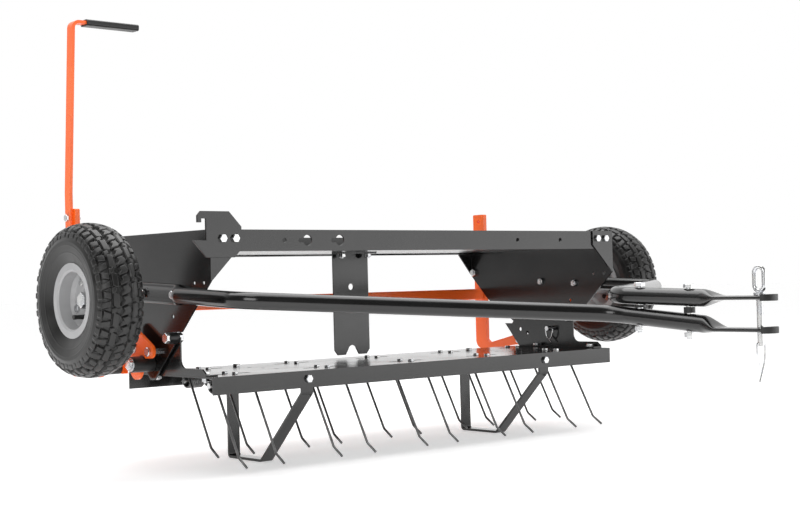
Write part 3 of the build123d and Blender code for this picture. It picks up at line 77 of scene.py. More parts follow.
# ---------------------------------------------------------------------------
# Named choices
# ---------------------------------------------------------------------------
class Side(Enum):
    """Side of the implement, with the sign of X on that side."""

    LEFT = -1
    RIGHT = 1

    @property
    def word(self) -> str:
        """Name of the side as the CAD nodes spell it."""
        return self.name.lower()


class Effect(Enum):
    """Shared shader effects, each built once as a node group."""

    DUST = "Settled Dust"
    COAT = "Powder Coat Skin"
    PLATE = "Plated Skin"
    MOULDED = "Moulded Skin"


class Slot(Enum):
    """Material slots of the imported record."""

    BLACK = "black_paint"
    ORANGE = "orange_paint"
    RIM = "rim_paint"
    ZINC = "zinc"
    SPRING = "spring_steel"
    TYRE = "tyre"
    RUBBER = "rubber"
    VINYL = "vinyl"
    NYLON = "black_plastic"


# ---------------------------------------------------------------------------
# Shader node helpers
# ---------------------------------------------------------------------------
class Tree:
    """Thin wrapper that adds and links nodes in one shader node tree."""

    def __init__(self, tree: bpy.types.NodeTree) -> None:
        """Args:
        tree: the node tree to fill.
        """
        self.tree = tree

    def add(self, kind: str, settings: dict | None = None, **sockets: object) -> bpy.types.Node:
        """Adds a node.

        Args:
            kind: Blender's node type name.
            settings: node properties to set first.
            **sockets: input values or output sockets to link, spaces written as underscores.

        Returns:
            The new node.
        """
        node = self.tree.nodes.new(kind)
        for name, value in (settings or {}).items():
            setattr(node, name, value)
        for name, value in sockets.items():
            self.feed(node, name.replace("_", " "), value)
        return node

    def feed(self, node: bpy.types.Node, name: str | int, value: object) -> None:
        """Links a socket, or sets its value.

        Args:
            node: node whose input is fed.
            name: input's name or number.
            value: an output socket to link, or a constant.
        """
        if isinstance(value, bpy.types.NodeSocket):
            self.tree.links.new(value, node.inputs[name])
        else:
            node.inputs[name].default_value = value

    def ramp(self, source: bpy.types.NodeSocket, low: float, high: float) -> bpy.types.NodeSocket:
        """Smooth step from 0 at low to 1 at high.

        Args:
            source: value to remap.
            low: value that gives 0.
            high: value that gives 1.

        Returns:
            The remapped socket.
        """
        node = self.add("ShaderNodeMapRange", {"interpolation_type": "SMOOTHSTEP"})
        for name, value in (("Value", source), ("From Min", low), ("From Max", high)):
            self.feed(node, name, value)
        return node.outputs["Result"]

    def math(self, operation: str, first: object, second: object) -> bpy.types.NodeSocket:
        """Math node with two inputs.

        Args:
            operation: Blender's operation name.
            first: first socket or number.
            second: second socket or number.

        Returns:
            The result socket.
        """
        node = self.add("ShaderNodeMath", {"operation": operation})
        self.feed(node, 0, first)
        self.feed(node, 1, second)
        return node.outputs[0]

    def mix(self, factor: object, first: object, second: object) -> bpy.types.NodeSocket:
        """Colour mix.

        Args:
            factor: share of the second colour.
            first: first colour.
            second: second colour.

        Returns:
            The mixed colour socket.
        """
        node = self.add("ShaderNodeMix", {"data_type": "RGBA"})
        self.feed(node, 0, factor)
        self.feed(node, 6, first)
        self.feed(node, 7, second)
        return node.outputs[2]

    def noise(self, place: object, scale: object, detail: float = 2.0) -> bpy.types.NodeSocket:
        """Noise texture.

        Args:
            place: texture position.
            scale: noise scale, in cells per metre.
            detail: noise octaves.

        Returns:
            The noise value socket.
        """
        node = self.add("ShaderNodeTexNoise", Vector=place, Scale=scale, Detail=detail)
        return node.outputs["Fac"]


class EffectLibrary:
    """Builds each shared node group once and hands it out."""

    def __init__(self) -> None:
        """Builds every group."""
        self.groups: dict[Effect, bpy.types.NodeTree] = {}
        self._dust()
        self._coat()
        self._plate()
        self._moulded()

    def _start(
        self, effect: Effect, inputs: Sequence[tuple[str, object]], outputs: Sequence[tuple[str, str]]
    ) -> tuple[Tree, Callable[[str], bpy.types.NodeSocket], bpy.types.Node]:
        """Opens a group with its named sockets.

        Args:
            effect: which effect the group is.
            inputs: name and default of each input; a tuple default makes a colour.
            outputs: name and socket type of each output.

        Returns:
            The tree, a function that gives an input socket by name, and the output node.
        """
        tree = bpy.data.node_groups.new(effect.value, "ShaderNodeTree")
        for name, default in inputs:
            kind = "NodeSocketColor" if isinstance(default, tuple) else "NodeSocketFloat"
            socket = tree.interface.new_socket(name, in_out="INPUT", socket_type=kind)
            socket.default_value = default
        for name, kind in outputs:
            tree.interface.new_socket(name, in_out="OUTPUT", socket_type=kind)
        self.groups[effect] = tree
        wrap = Tree(tree)
        entry = wrap.add("NodeGroupInput")
        leave = wrap.add("NodeGroupOutput")
        return wrap, lambda name: entry.outputs[name], leave

    def _dust(self) -> None:
        """Mask of the faint dust that lies on faces that look up."""
        tree, given, leave = self._start(
            Effect.DUST, [("Amount", 0.2), ("Patch Scale", 9.0)], [("Mask", "NodeSocketFloat")]
        )
        place = tree.add("ShaderNodeTexCoord").outputs["Object"]
        normal = tree.add("ShaderNodeNewGeometry").outputs["Normal"]
        upward = tree.add("ShaderNodeSeparateXYZ", Vector=normal).outputs["Z"]
        facing = tree.ramp(upward, 0.3, 0.95)
        patches = tree.ramp(tree.noise(place, given("Patch Scale"), 6.0), 0.42, 0.72)
        fine = tree.ramp(tree.noise(place, 1400.0, 1.0), 0.35, 0.7)
        mask = tree.math("MULTIPLY", tree.math("MULTIPLY", facing, patches), fine)
        tree.feed(leave, "Mask", tree.math("MULTIPLY", mask, given("Amount")))

    def _coat(self) -> None:
        """Cured powder coat: orange-peel skin, slight clouding of colour and gloss, faint dust."""
        tree, given, leave = self._start(
            Effect.COAT,
            [
                ("Base Color", (0.01, 0.01, 0.01, 1)),
                ("Cloud Color", (0.02, 0.02, 0.02, 1)),
                ("Dust Color", (0.3, 0.28, 0.25, 1)),
                ("Gloss", 0.2),
                ("Peel Scale", 420.0),
                ("Dust", 0.1),
            ],
            [("Color", "NodeSocketColor"), ("Roughness", "NodeSocketFloat"), ("Height", "NodeSocketFloat")],
        )
        place = tree.add("ShaderNodeTexCoord").outputs["Object"]
        cloud = tree.ramp(tree.noise(place, 7.0, 3.0), 0.35, 0.7)
        colour = tree.mix(cloud, given("Base Color"), given("Cloud Color"))
        dust = tree.add("ShaderNodeGroup", {"node_tree": self.groups[Effect.DUST]})
        tree.feed(dust, "Amount", given("Dust"))
        colour = tree.mix(dust.outputs["Mask"], colour, given("Dust Color"))
        sparkle = tree.ramp(tree.noise(place, 2600.0, 0.0), 0.3, 0.7)
        rough = tree.math("ADD", given("Gloss"), tree.math("MULTIPLY", cloud, 0.05))
        rough = tree.math("ADD", rough, tree.math("MULTIPLY", sparkle, 0.03))
        rough = tree.math("ADD", rough, dust.outputs["Mask"])
        peel = tree.noise(place, given("Peel Scale"), 2.0)
        tree.feed(leave, "Color", colour)
        tree.feed(leave, "Roughness", rough)
        tree.feed(leave, "Height", peel)

    def _plate(self) -> None:
        """Plated or drawn steel: faint tint patches, fine scratches and uneven gloss."""
        tree, given, leave = self._start(
            Effect.PLATE,
            [
                ("Base Color", (0.7, 0.7, 0.7, 1)),
                ("Tint Color", (0.6, 0.6, 0.62, 1)),
                ("Gloss", 0.25),
                ("Scratch Scale", 900.0),
            ],
            [("Color", "NodeSocketColor"), ("Roughness", "NodeSocketFloat"), ("Height", "NodeSocketFloat")],
        )
        place = tree.add("ShaderNodeTexCoord").outputs["Object"]
        patch = tree.ramp(tree.noise(place, 60.0, 4.0), 0.35, 0.65)
        stretch = tree.add("ShaderNodeMapping", Vector=place, Scale=(1.0, 1.0, 0.12))
        scratch = tree.noise(stretch.outputs[0], given("Scratch Scale"), 3.0)
        rough = tree.math("ADD", given("Gloss"), tree.math("MULTIPLY", patch, 0.08))
        rough = tree.math("ADD", rough, tree.math("MULTIPLY", scratch, 0.08))
        tree.feed(leave, "Color", tree.mix(patch, given("Base Color"), given("Tint Color")))
        tree.feed(leave, "Roughness", rough)
        tree.feed(leave, "Height", scratch)

    def _moulded(self) -> None:
        """Moulded rubber or plastic: pores, bloom and a little dust on faces that look up."""
        tree, given, leave = self._start(
            Effect.MOULDED,
            [
                ("Base Color", (0.01, 0.01, 0.01, 1)),
                ("Bloom Color", (0.04, 0.04, 0.04, 1)),
                ("Gloss", 0.45),
                ("Pore Scale", 1100.0),
                ("Dust", 0.1),
            ],
            [("Color", "NodeSocketColor"), ("Roughness", "NodeSocketFloat"), ("Height", "NodeSocketFloat")],
        )
        place = tree.add("ShaderNodeTexCoord").outputs["Object"]
        bloom = tree.ramp(tree.noise(place, 26.0, 5.0), 0.38, 0.72)
        colour = tree.mix(bloom, given("Base Color"), given("Bloom Color"))
        dust = tree.add("ShaderNodeGroup", {"node_tree": self.groups[Effect.DUST]})
        tree.feed(dust, "Amount", given("Dust"))
        tree.feed(dust, "Patch Scale", 22.0)
        colour = tree.mix(dust.outputs["Mask"], colour, (0.3, 0.27, 0.23, 1))
        pores = tree.noise(place, given("Pore Scale"), 3.0)
        rough = tree.math("ADD", given("Gloss"), tree.math("MULTIPLY", bloom, 0.12))
        rough = tree.math("ADD", rough, tree.math("MULTIPLY", pores, 0.08))
        tree.feed(leave, "Color", colour)
        tree.feed(leave, "Roughness", rough)
        tree.feed(leave, "Height", pores)


# ---------------------------------------------------------------------------
# Finishes
# ---------------------------------------------------------------------------
@dataclass(frozen=True)
class Finish:
    """A finish made of one shared effect and a Principled surface."""

    slot: Slot
    effect: Effect
    values: dict[str, object]
    metallic: float = 0.0
    coat: float = 0.0
    specular: float = 0.5
    bump: float = 0.25
    depth: float = 0.00005

    def material(self, library: EffectLibrary) -> bpy.types.Material:
        """Makes the finish's material.

        Args:
            library: the shared node groups.

        Returns:
            The new material.
        """
        made = bpy.data.materials.new(self.slot.value + "_finish")
        made.use_nodes = True
        made.node_tree.nodes.clear()
        tree = Tree(made.node_tree)
        effect = tree.add("ShaderNodeGroup", {"node_tree": library.groups[self.effect]})
        for name, value in self.values.items():
            effect.inputs[name].default_value = value
        bump = tree.add("ShaderNodeBump", Strength=self.bump, Distance=self.depth)
        tree.feed(bump, "Height", effect.outputs["Height"])
        surface = tree.add(
            "ShaderNodeBsdfPrincipled",
            Base_Color=effect.outputs["Color"],
            Roughness=effect.outputs["Roughness"],
            Normal=bump.outputs["Normal"],
            Metallic=self.metallic,
            Coat_Weight=self.coat,
            Coat_Roughness=0.08,
            Specular_IOR_Level=self.specular,
        )
        output = tree.add("ShaderNodeOutputMaterial")
        tree.feed(output, "Surface", surface.outputs[0])
        return made


FINISHES = (
    Finish(
        Slot.BLACK,
        Effect.COAT,
        {
            "Base Color": (0.005, 0.0049, 0.0048, 1),
            "Cloud Color": (0.0075, 0.0073, 0.0072, 1),
            "Gloss": 0.14,
            "Dust": 0.0,
        },
        specular=0.62,
        bump=0.12,
    ),
    Finish(
        Slot.ORANGE,
        Effect.COAT,
        {
            "Base Color": (1.0, 0.15, 0.016, 1),
            "Cloud Color": (0.95, 0.125, 0.012, 1),
            "Gloss": 0.24,
            "Dust": 0.0,
        },
        bump=0.15,
    ),
    Finish(
        Slot.RIM,
        Effect.COAT,
        {
            "Base Color": (0.4, 0.4, 0.405, 1),
            "Cloud Color": (0.35, 0.35, 0.355, 1),
            "Gloss": 0.3,
            "Dust": 0.05,
        },
        bump=0.15,
    ),
    Finish(
        Slot.ZINC,
        Effect.PLATE,
        {
            "Base Color": (0.72, 0.72, 0.71, 1),
            "Tint Color": (0.6, 0.61, 0.63, 1),
            "Gloss": 0.16,
        },
        metallic=1.0,
        bump=0.2,
        depth=0.00003,
    ),
    Finish(
        Slot.SPRING,
        Effect.PLATE,
        {"Base Color": (0.2, 0.2, 0.2, 1), "Tint Color": (0.13, 0.13, 0.13, 1), "Gloss": 0.3},
        metallic=0.9,
        bump=0.2,
        depth=0.00003,
    ),
    Finish(
        Slot.TYRE,
        Effect.MOULDED,
        {
            "Base Color": (0.0085, 0.0083, 0.008, 1),
            "Bloom Color": (0.019, 0.0185, 0.018, 1),
            "Gloss": 0.3,
            "Dust": 0.06,
        },
        specular=0.5,
        bump=0.3,
        depth=0.0001,
    ),
    Finish(
        Slot.RUBBER,
        Effect.MOULDED,
        {
            "Base Color": (0.008, 0.008, 0.008, 1),
            "Bloom Color": (0.014, 0.014, 0.014, 1),
            "Gloss": 0.4,
            "Dust": 0.0,
        },
    ),
    Finish(
        Slot.VINYL,
        Effect.MOULDED,
        {
            "Base Color": (0.006, 0.006, 0.006, 1),
            "Bloom Color": (0.012, 0.012, 0.012, 1),
            "Gloss": 0.3,
            "Dust": 0.02,
        },
    ),
    Finish(
        Slot.NYLON,
        Effect.MOULDED,
        {
            "Base Color": (0.007, 0.007, 0.007, 1),
            "Bloom Color": (0.012, 0.012, 0.012, 1),
            "Gloss": 0.28,
            "Dust": 0.0,
        },
    ),
)


# ---------------------------------------------------------------------------
# Mesh helpers
# ---------------------------------------------------------------------------
class Workshop:
    """Makes pieces from point arrays and dresses them with the finishes."""

    def __init__(self, frame: dict) -> None:
        """Args:
        """
        self.frame = frame
        library = EffectLibrary()
        self.materials = {finish.slot: finish.material(library) for finish in FINISHES}

    def piece(
        self, name: str, points: np.ndarray, faces: Sequence[Sequence[int]], slot: Slot, body: str
    ) -> bpy.types.Object:
        """Makes a smooth-shaded mesh that rides on a CAD body.

        Args:
            name: piece name.
            points: vertex positions in metres, one row each.
            faces: vertex numbers of each face.
            slot: material slot it takes its finish from.
            body: CAD body it rides on.

        Returns:
            The new object.
        """
        mesh = bpy.data.meshes.new(name)
        mesh.from_pydata(points.tolist(), [], [list(face) for face in faces])
        mesh.validate()
        mesh.polygons.foreach_set("use_smooth", [True] * len(mesh.polygons))
        mesh.materials.append(self.materials[slot])
        mesh.update()
        obj = bpy.data.objects.new(name, mesh)
        bpy.context.collection.objects.link(obj)
        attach(obj, body)
        return obj

    def soften(self, node: str, width: float, limit: float = 32.0) -> None:
        """Gives a CAD node rounded edges that catch the light.

        Args:
            node: CAD node.
            width: bevel width in metres.
            limit: sharpest edge angle left alone, in degrees.
        """
        obj = self.frame["nodes"][node]
        weld = obj.modifiers.new("Weld", "WELD")
        weld.merge_threshold = 0.00001
        merge = obj.modifiers.new("Planes", "DECIMATE")
        merge.decimate_type = "DISSOLVE"
        merge.angle_limit = math.radians(0.6)
        bevel = obj.modifiers.new("Edges", "BEVEL")
        bevel.width = width
        bevel.segments = 2
        bevel.limit_method = "ANGLE"
        bevel.angle_limit = math.radians(limit)
        bevel.use_clamp_overlap = True
        shade = obj.modifiers.new("Shading", "WEIGHTED_NORMAL")
        shade.keep_sharp = False
        shade.weight = 60


def ring_faces(rows: int, columns: int, closed_rows: bool = False) -> list[tuple[int, ...]]:
    """Quads of a grid whose columns close into rings.

    Args:
        rows: number of rings.
        columns: points on each ring.
        closed_rows: whether the last ring joins the first.

    Returns:
        Vertex numbers of each quad.
    """
    faces = []
    for row in range(rows if closed_rows else rows - 1):
        after = (row + 1) % rows
        for column in range(columns):
            step = (column + 1) % columns
            here, there = row * columns, after * columns
            faces.append((here + column, here + step, there + step, there + column))
    return faces


def tube(path: np.ndarray, radius: float, sides: int = 10) -> tuple[np.ndarray, list[tuple[int, ...]]]:
    """Round wire along a path, with closed ends.

    Args:
        path: centre points, one row each.
        radius: wire radius.
        sides: points round the wire.

    Returns:
        Vertex positions and faces.
    """
    ahead = np.gradient(path, axis=0)
    ahead /= np.linalg.norm(ahead, axis=1)[:, None]
    up = np.cross(ahead[0], (0.3, 0.5, 0.81))
    rings = []
    for centre, way in zip(path, ahead):
        up = up - way * np.dot(up, way)
        up /= np.linalg.norm(up)
        across = np.cross(way, up)
        angles = np.arange(sides) * 2 * math.pi / sides
        rings.append(centre + radius * (np.cos(angles)[:, None] * up + np.sin(angles)[:, None] * across))
    points = np.concatenate(rings)
    faces = ring_faces(len(path), sides)
    faces.append(tuple(reversed(range(sides))))
    faces.append(tuple(range(len(points) - sides, len(points))))
    return points, faces


def rounded(corners: Sequence[Point], radius: float, steps: int = 8) -> np.ndarray:
    """Polyline with its inner corners rounded by arcs.

    Args:
        corners: the polyline's points.
        radius: arc radius.
        steps: points along each arc.

    Returns:
        The rounded path, one row per point.
    """
    pts = [np.array(corner, float) for corner in corners]
    path = [pts[0]]
    for before, corner, after in zip(pts, pts[1:], pts[2:]):
        back = (before - corner) / np.linalg.norm(before - corner)
        on = (after - corner) / np.linalg.norm(after - corner)
        half = math.acos(max(-1.0, min(1.0, float(np.dot(back, on))))) / 2
        reach = radius / math.tan(half)
        centre = corner + (back + on) / np.linalg.norm(back + on) * radius / math.sin(half)
        start, end = corner + back * reach, corner + on * reach
        for share in np.linspace(0, 1, steps):
            spoke = start * (1 - share) + end * share - centre
            path.append(centre + spoke / np.linalg.norm(spoke) * radius)
    path.append(pts[-1])
    return np.array(path)


# ---------------------------------------------------------------------------
# Sub-assemblies
# ---------------------------------------------------------------------------
@dataclass
class CadDressing:
    """Finishes and softened edges of the CAD nodes that stay on show."""

    plate_edge: float = 0.7 * MM
    bar_edge: float = 1.1 * MM
    fastener_edge: float = 0.35 * MM
    cap_edge: float = 1.8 * MM
    plates: tuple[str, ...] = (
        "side_plate_left",
        "side_plate_right",
        "hook_bracket",
        "center_bracket",
        "tray_bracket_left",
        "tray_bracket_right",
        "deck_plate",
        "tray",
    )
    bars: tuple[str, ...] = (
        "front_bar",
        "rear_bar",
        "stand_left",
        "stand_right",
        "hook_plates",
        "lift_arm_left",
        "lift_arm_right",
        "lift_lever",
        "lift_crossbar",
        "wheel_carrier_left",
        "wheel_carrier_right",
    )
    fasteners: tuple[str, ...] = (
        "frame_bolts",
        "frame_nuts",
        "tray_bolts",
        "tray_nuts",
        "lift_bolts",
        "lift_nuts",
        "rim_bolts_left",
        "rim_bolts_right",
        "tine_clamps",
        "frame_washers",
    )

    def build(self, shop: Workshop) -> None:
        """Dresses every CAD node.

        Args:
            shop: the workshop with the finishes.
        """
        slots = {part["node"]: Slot(part["material_slot"]) for part in shop.frame["record"]["subparts"]}
        for name, node in shop.frame["nodes"].items():
            node.data.materials.clear()
            node.data.materials.append(shop.materials[slots[name]])
        for names, width in (
            (self.plates, self.plate_edge),
            (self.bars, self.bar_edge),
            (self.fasteners, self.fastener_edge),
        ):
            for name in names:
                shop.soften(name, width)
        shop.soften("clevis_caps", self.cap_edge)
        LOG.info("dressed %d CAD nodes", len(shop.frame["nodes"]))


@dataclass
class Drawbar:
    """One drawbar tube: pressed ear, round run and flattened clevis ear."""

    side: Side
    axle: Point
    node: str
    fall: float
    clevis_z: float
    tube_radius: float = 14.0 * MM
    plate_out: float = 502.2 * MM
    ear_height: float = 36.0 * MM
    ear_thick: float = 8.0 * MM
    ear_axis_z: float = 311.5 * MM
    lead_fall: float = 0.05
    lead_end: float = -255.0 * MM
    tongue_bend: float = -590.0 * MM
    tongue_end: float = -772.0 * MM
    bend_radius: float = 60.0 * MM
    ear_rear: float = 74.0 * MM
    ear_front: float = -46.0 * MM
    swage_length: float = 30.0 * MM
    lead_start: float = -80.0 * MM
    ear_square: float = 3.2
    press_depth: float = 0.42
    press_reach: float = 0.62
    joggle: float = 36.0 * MM
    clevis_rear: float = -812.0 * MM
    clevis_straight: float = -882.0 * MM
    clevis_round: float = -883.5 * MM
    clevis_square: float = 4.0
    clevis_thick: float = 7.0 * MM
    clevis_half: float = 20.0 * MM
    sides: int = 48

    def lead_z(self, back: float) -> float:
        """Height of the ear's and the lead's axis at a distance behind the axle."""
        return self.ear_axis_z + self.lead_fall * back

    def tongue_z(self, back: float) -> float:
        """Height of the tongue's axis at a distance behind the axle."""
        return self.ear_axis_z + self.fall * back

    def stations(self) -> list[tuple[Point, float, float, float, float]]:
        """Cross-sections from the ear's rear to the tip.

        Returns:
            Centre, half across, half up, squareness and press depth of each.
        """
        ear_x = self.plate_out + self.ear_thick / 2
        tube_x = self.plate_out + self.tube_radius
        half = self.ear_height / 2
        thin = self.ear_thick / 2
        rows: list[tuple[float, float, float, float, float, float, float]] = []
        for back in np.linspace(self.ear_rear, self.ear_front, 24):
            z = self.lead_z(back)
            rows.append((ear_x, back, z, thin, half, self.ear_square, self.press_depth))
        for share in np.linspace(0.06, 1, 14):
            ease = share * share * (3 - 2 * share)
            back = self.ear_front - self.swage_length * share
            rows.append(
                (
                    ear_x + (tube_x - ear_x) * ease,
                    back,
                    self.lead_z(back),
                    thin + (self.tube_radius - thin) * ease,
                    half + (self.tube_radius - half) * ease,
                    self.ear_square + (2.0 - self.ear_square) * ease,
                    self.press_depth * (1 - ease) ** 1.5,
                )
            )
        run = rounded(
            [
                (tube_x, self.lead_start, self.lead_z(self.lead_start)),
                (tube_x, self.lead_end, self.lead_z(self.lead_end)),
                (0, self.tongue_bend, self.tongue_z(self.tongue_bend)),
                (0, self.tongue_end, self.tongue_z(self.tongue_end)),
            ],
            self.bend_radius,
            20,
        )
        for x, back, z in run:
            rows.append((x, back, z, self.tube_radius, self.tube_radius, 2.0, 0.0))
        ear_z = self.clevis_z + self.clevis_thick / 2
        last_z = self.tongue_z(self.tongue_end)
        for share in np.linspace(0.05, 1, 16):
            ease = share * share * (3 - 2 * share)
            back = self.tongue_end - self.joggle * share
            rows.append(
                (
                    0,
                    back,
                    last_z + (ear_z - last_z) * ease,
                    self.tube_radius + (self.clevis_half - self.tube_radius) * ease,
                    self.tube_radius + (self.clevis_thick / 2 - self.tube_radius) * ease,
                    2.0 + (self.clevis_square - 2.0) * ease,
                    0.0,
                )
            )
        thin = self.clevis_thick / 2
        for back in np.linspace(self.clevis_rear, self.clevis_straight, 6):
            rows.append((0, back, ear_z, self.clevis_half, thin, self.clevis_square, 0.0))
        for turn in np.radians(np.linspace(10, 86, 12)):
            back = self.clevis_round - self.clevis_half * math.sin(turn)
            across = self.clevis_half * math.cos(turn)
            rows.append((0, back, ear_z, across, thin, self.clevis_square, 0.0))
        return [((x, back, z), across, up, square, press) for x, back, z, across, up, square, press in rows]

    def build(self, shop: Workshop) -> None:
        """Builds the tube and hides its CAD node.

        Args:
            shop: the workshop with the finishes.
        """
        stations = self.stations()
        centres = np.array([station[0] for station in stations])
        ahead = np.gradient(centres, axis=0)
        angles = np.arange(self.sides) * 2 * math.pi / self.sides
        rings = []
        for (centre, across, up, square, press), way in zip(stations, ahead):
            flat = Vector((way[0], way[1], 0)).normalized()
            right = np.array((-flat.y, flat.x, 0.0))
            power = 2 / square
            cos, sin = np.cos(angles), np.sin(angles)
            wide = np.sign(cos) * np.abs(cos) ** power
            tall = np.sign(sin) * np.abs(sin) ** power
            wide = wide * (1 - press * np.exp(-((tall / self.press_reach) ** 6)))
            ring = np.array(centre) + across * wide[:, None] * right
            ring[:, 2] += up * tall
            rings.append(ring)
        points = np.concatenate(rings)
        points[:, 0] *= self.side.value
        points[:, 1] += self.axle[1]
        faces = ring_faces(len(rings), self.sides)
        faces.append(tuple(reversed(range(self.sides))))
        faces.append(tuple(range(len(points) - self.sides, len(points))))
        if self.side is Side.RIGHT:
            faces = [tuple(reversed(face)) for face in faces]
        obj = shop.piece(f"{self.node}_tube", points, faces, Slot.BLACK, "platform")
        edge = obj.modifiers.new("Ends", "BEVEL")
        edge.width = 1.2 * MM
        edge.segments = 2
        edge.limit_method = "ANGLE"
        edge.angle_limit = math.radians(50)
        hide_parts(self.node)
        LOG.info("built %s", obj.name)


@dataclass
class SpringTine:
    """Double spring tine of one wire: leg, coil, bridge, coil and leg."""

    node: str
    centre: Point
    wire: float = 4.5 * MM
    coil: float = 12.25 * MM
    coil_in: float = 7.4 * MM
    coil_out: float = 38.0 * MM
    lean: float = 29.0
    leg_drop: float = 117.0 * MM
    toe: tuple[float, float] = (-23.0 * MM, -15.0 * MM)
    turns: int = 7
    turn_steps: int = 22

    def half_path(self, side: float) -> np.ndarray:
        """Wire from the middle of the bridge to one tip.

        Args:
            side: -1 or 1, the way along X.

        Returns:
            Path points about the tine's centre.
        """
        leave = 180.0 - self.lean + 360.0 * self.turns
        steps = self.turn_steps * self.turns
        angles = np.radians(np.linspace(180.0, leave, steps))
        along = np.linspace(self.coil_in, self.coil_out, steps)
        coil = np.stack([side * along, self.coil * np.cos(angles), self.coil * np.sin(angles)], 1)
        lean = math.radians(self.lean)
        start = coil[-1]
        run = (self.leg_drop + start[2]) / math.cos(lean)
        bend = (start[0], start[1] - run * math.sin(lean), start[2] - run * math.cos(lean))
        tip = (start[0], bend[1] + self.toe[0], bend[2] + self.toe[1])
        leg = rounded([tuple(start), bend, tip], 12 * MM)
        bridge = np.array([(0.0, -self.coil, 0.0), (side * self.coil_in * 0.6, -self.coil, 0.0)])
        return np.concatenate([bridge, coil, leg[1:]])

    def build(self, shop: Workshop) -> None:
        """Builds the wire and hides the CAD tine.

        Args:
            shop: the workshop with the finishes.
        """
        left, right = self.half_path(-1.0), self.half_path(1.0)
        path = np.concatenate([left[::-1], right[1:]]) + np.array(self.centre)
        points, faces = tube(path, self.wire / 2)
        obj = shop.piece(f"{self.node}_wire", points, faces, Slot.SPRING, self.node)
        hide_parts(self.node)


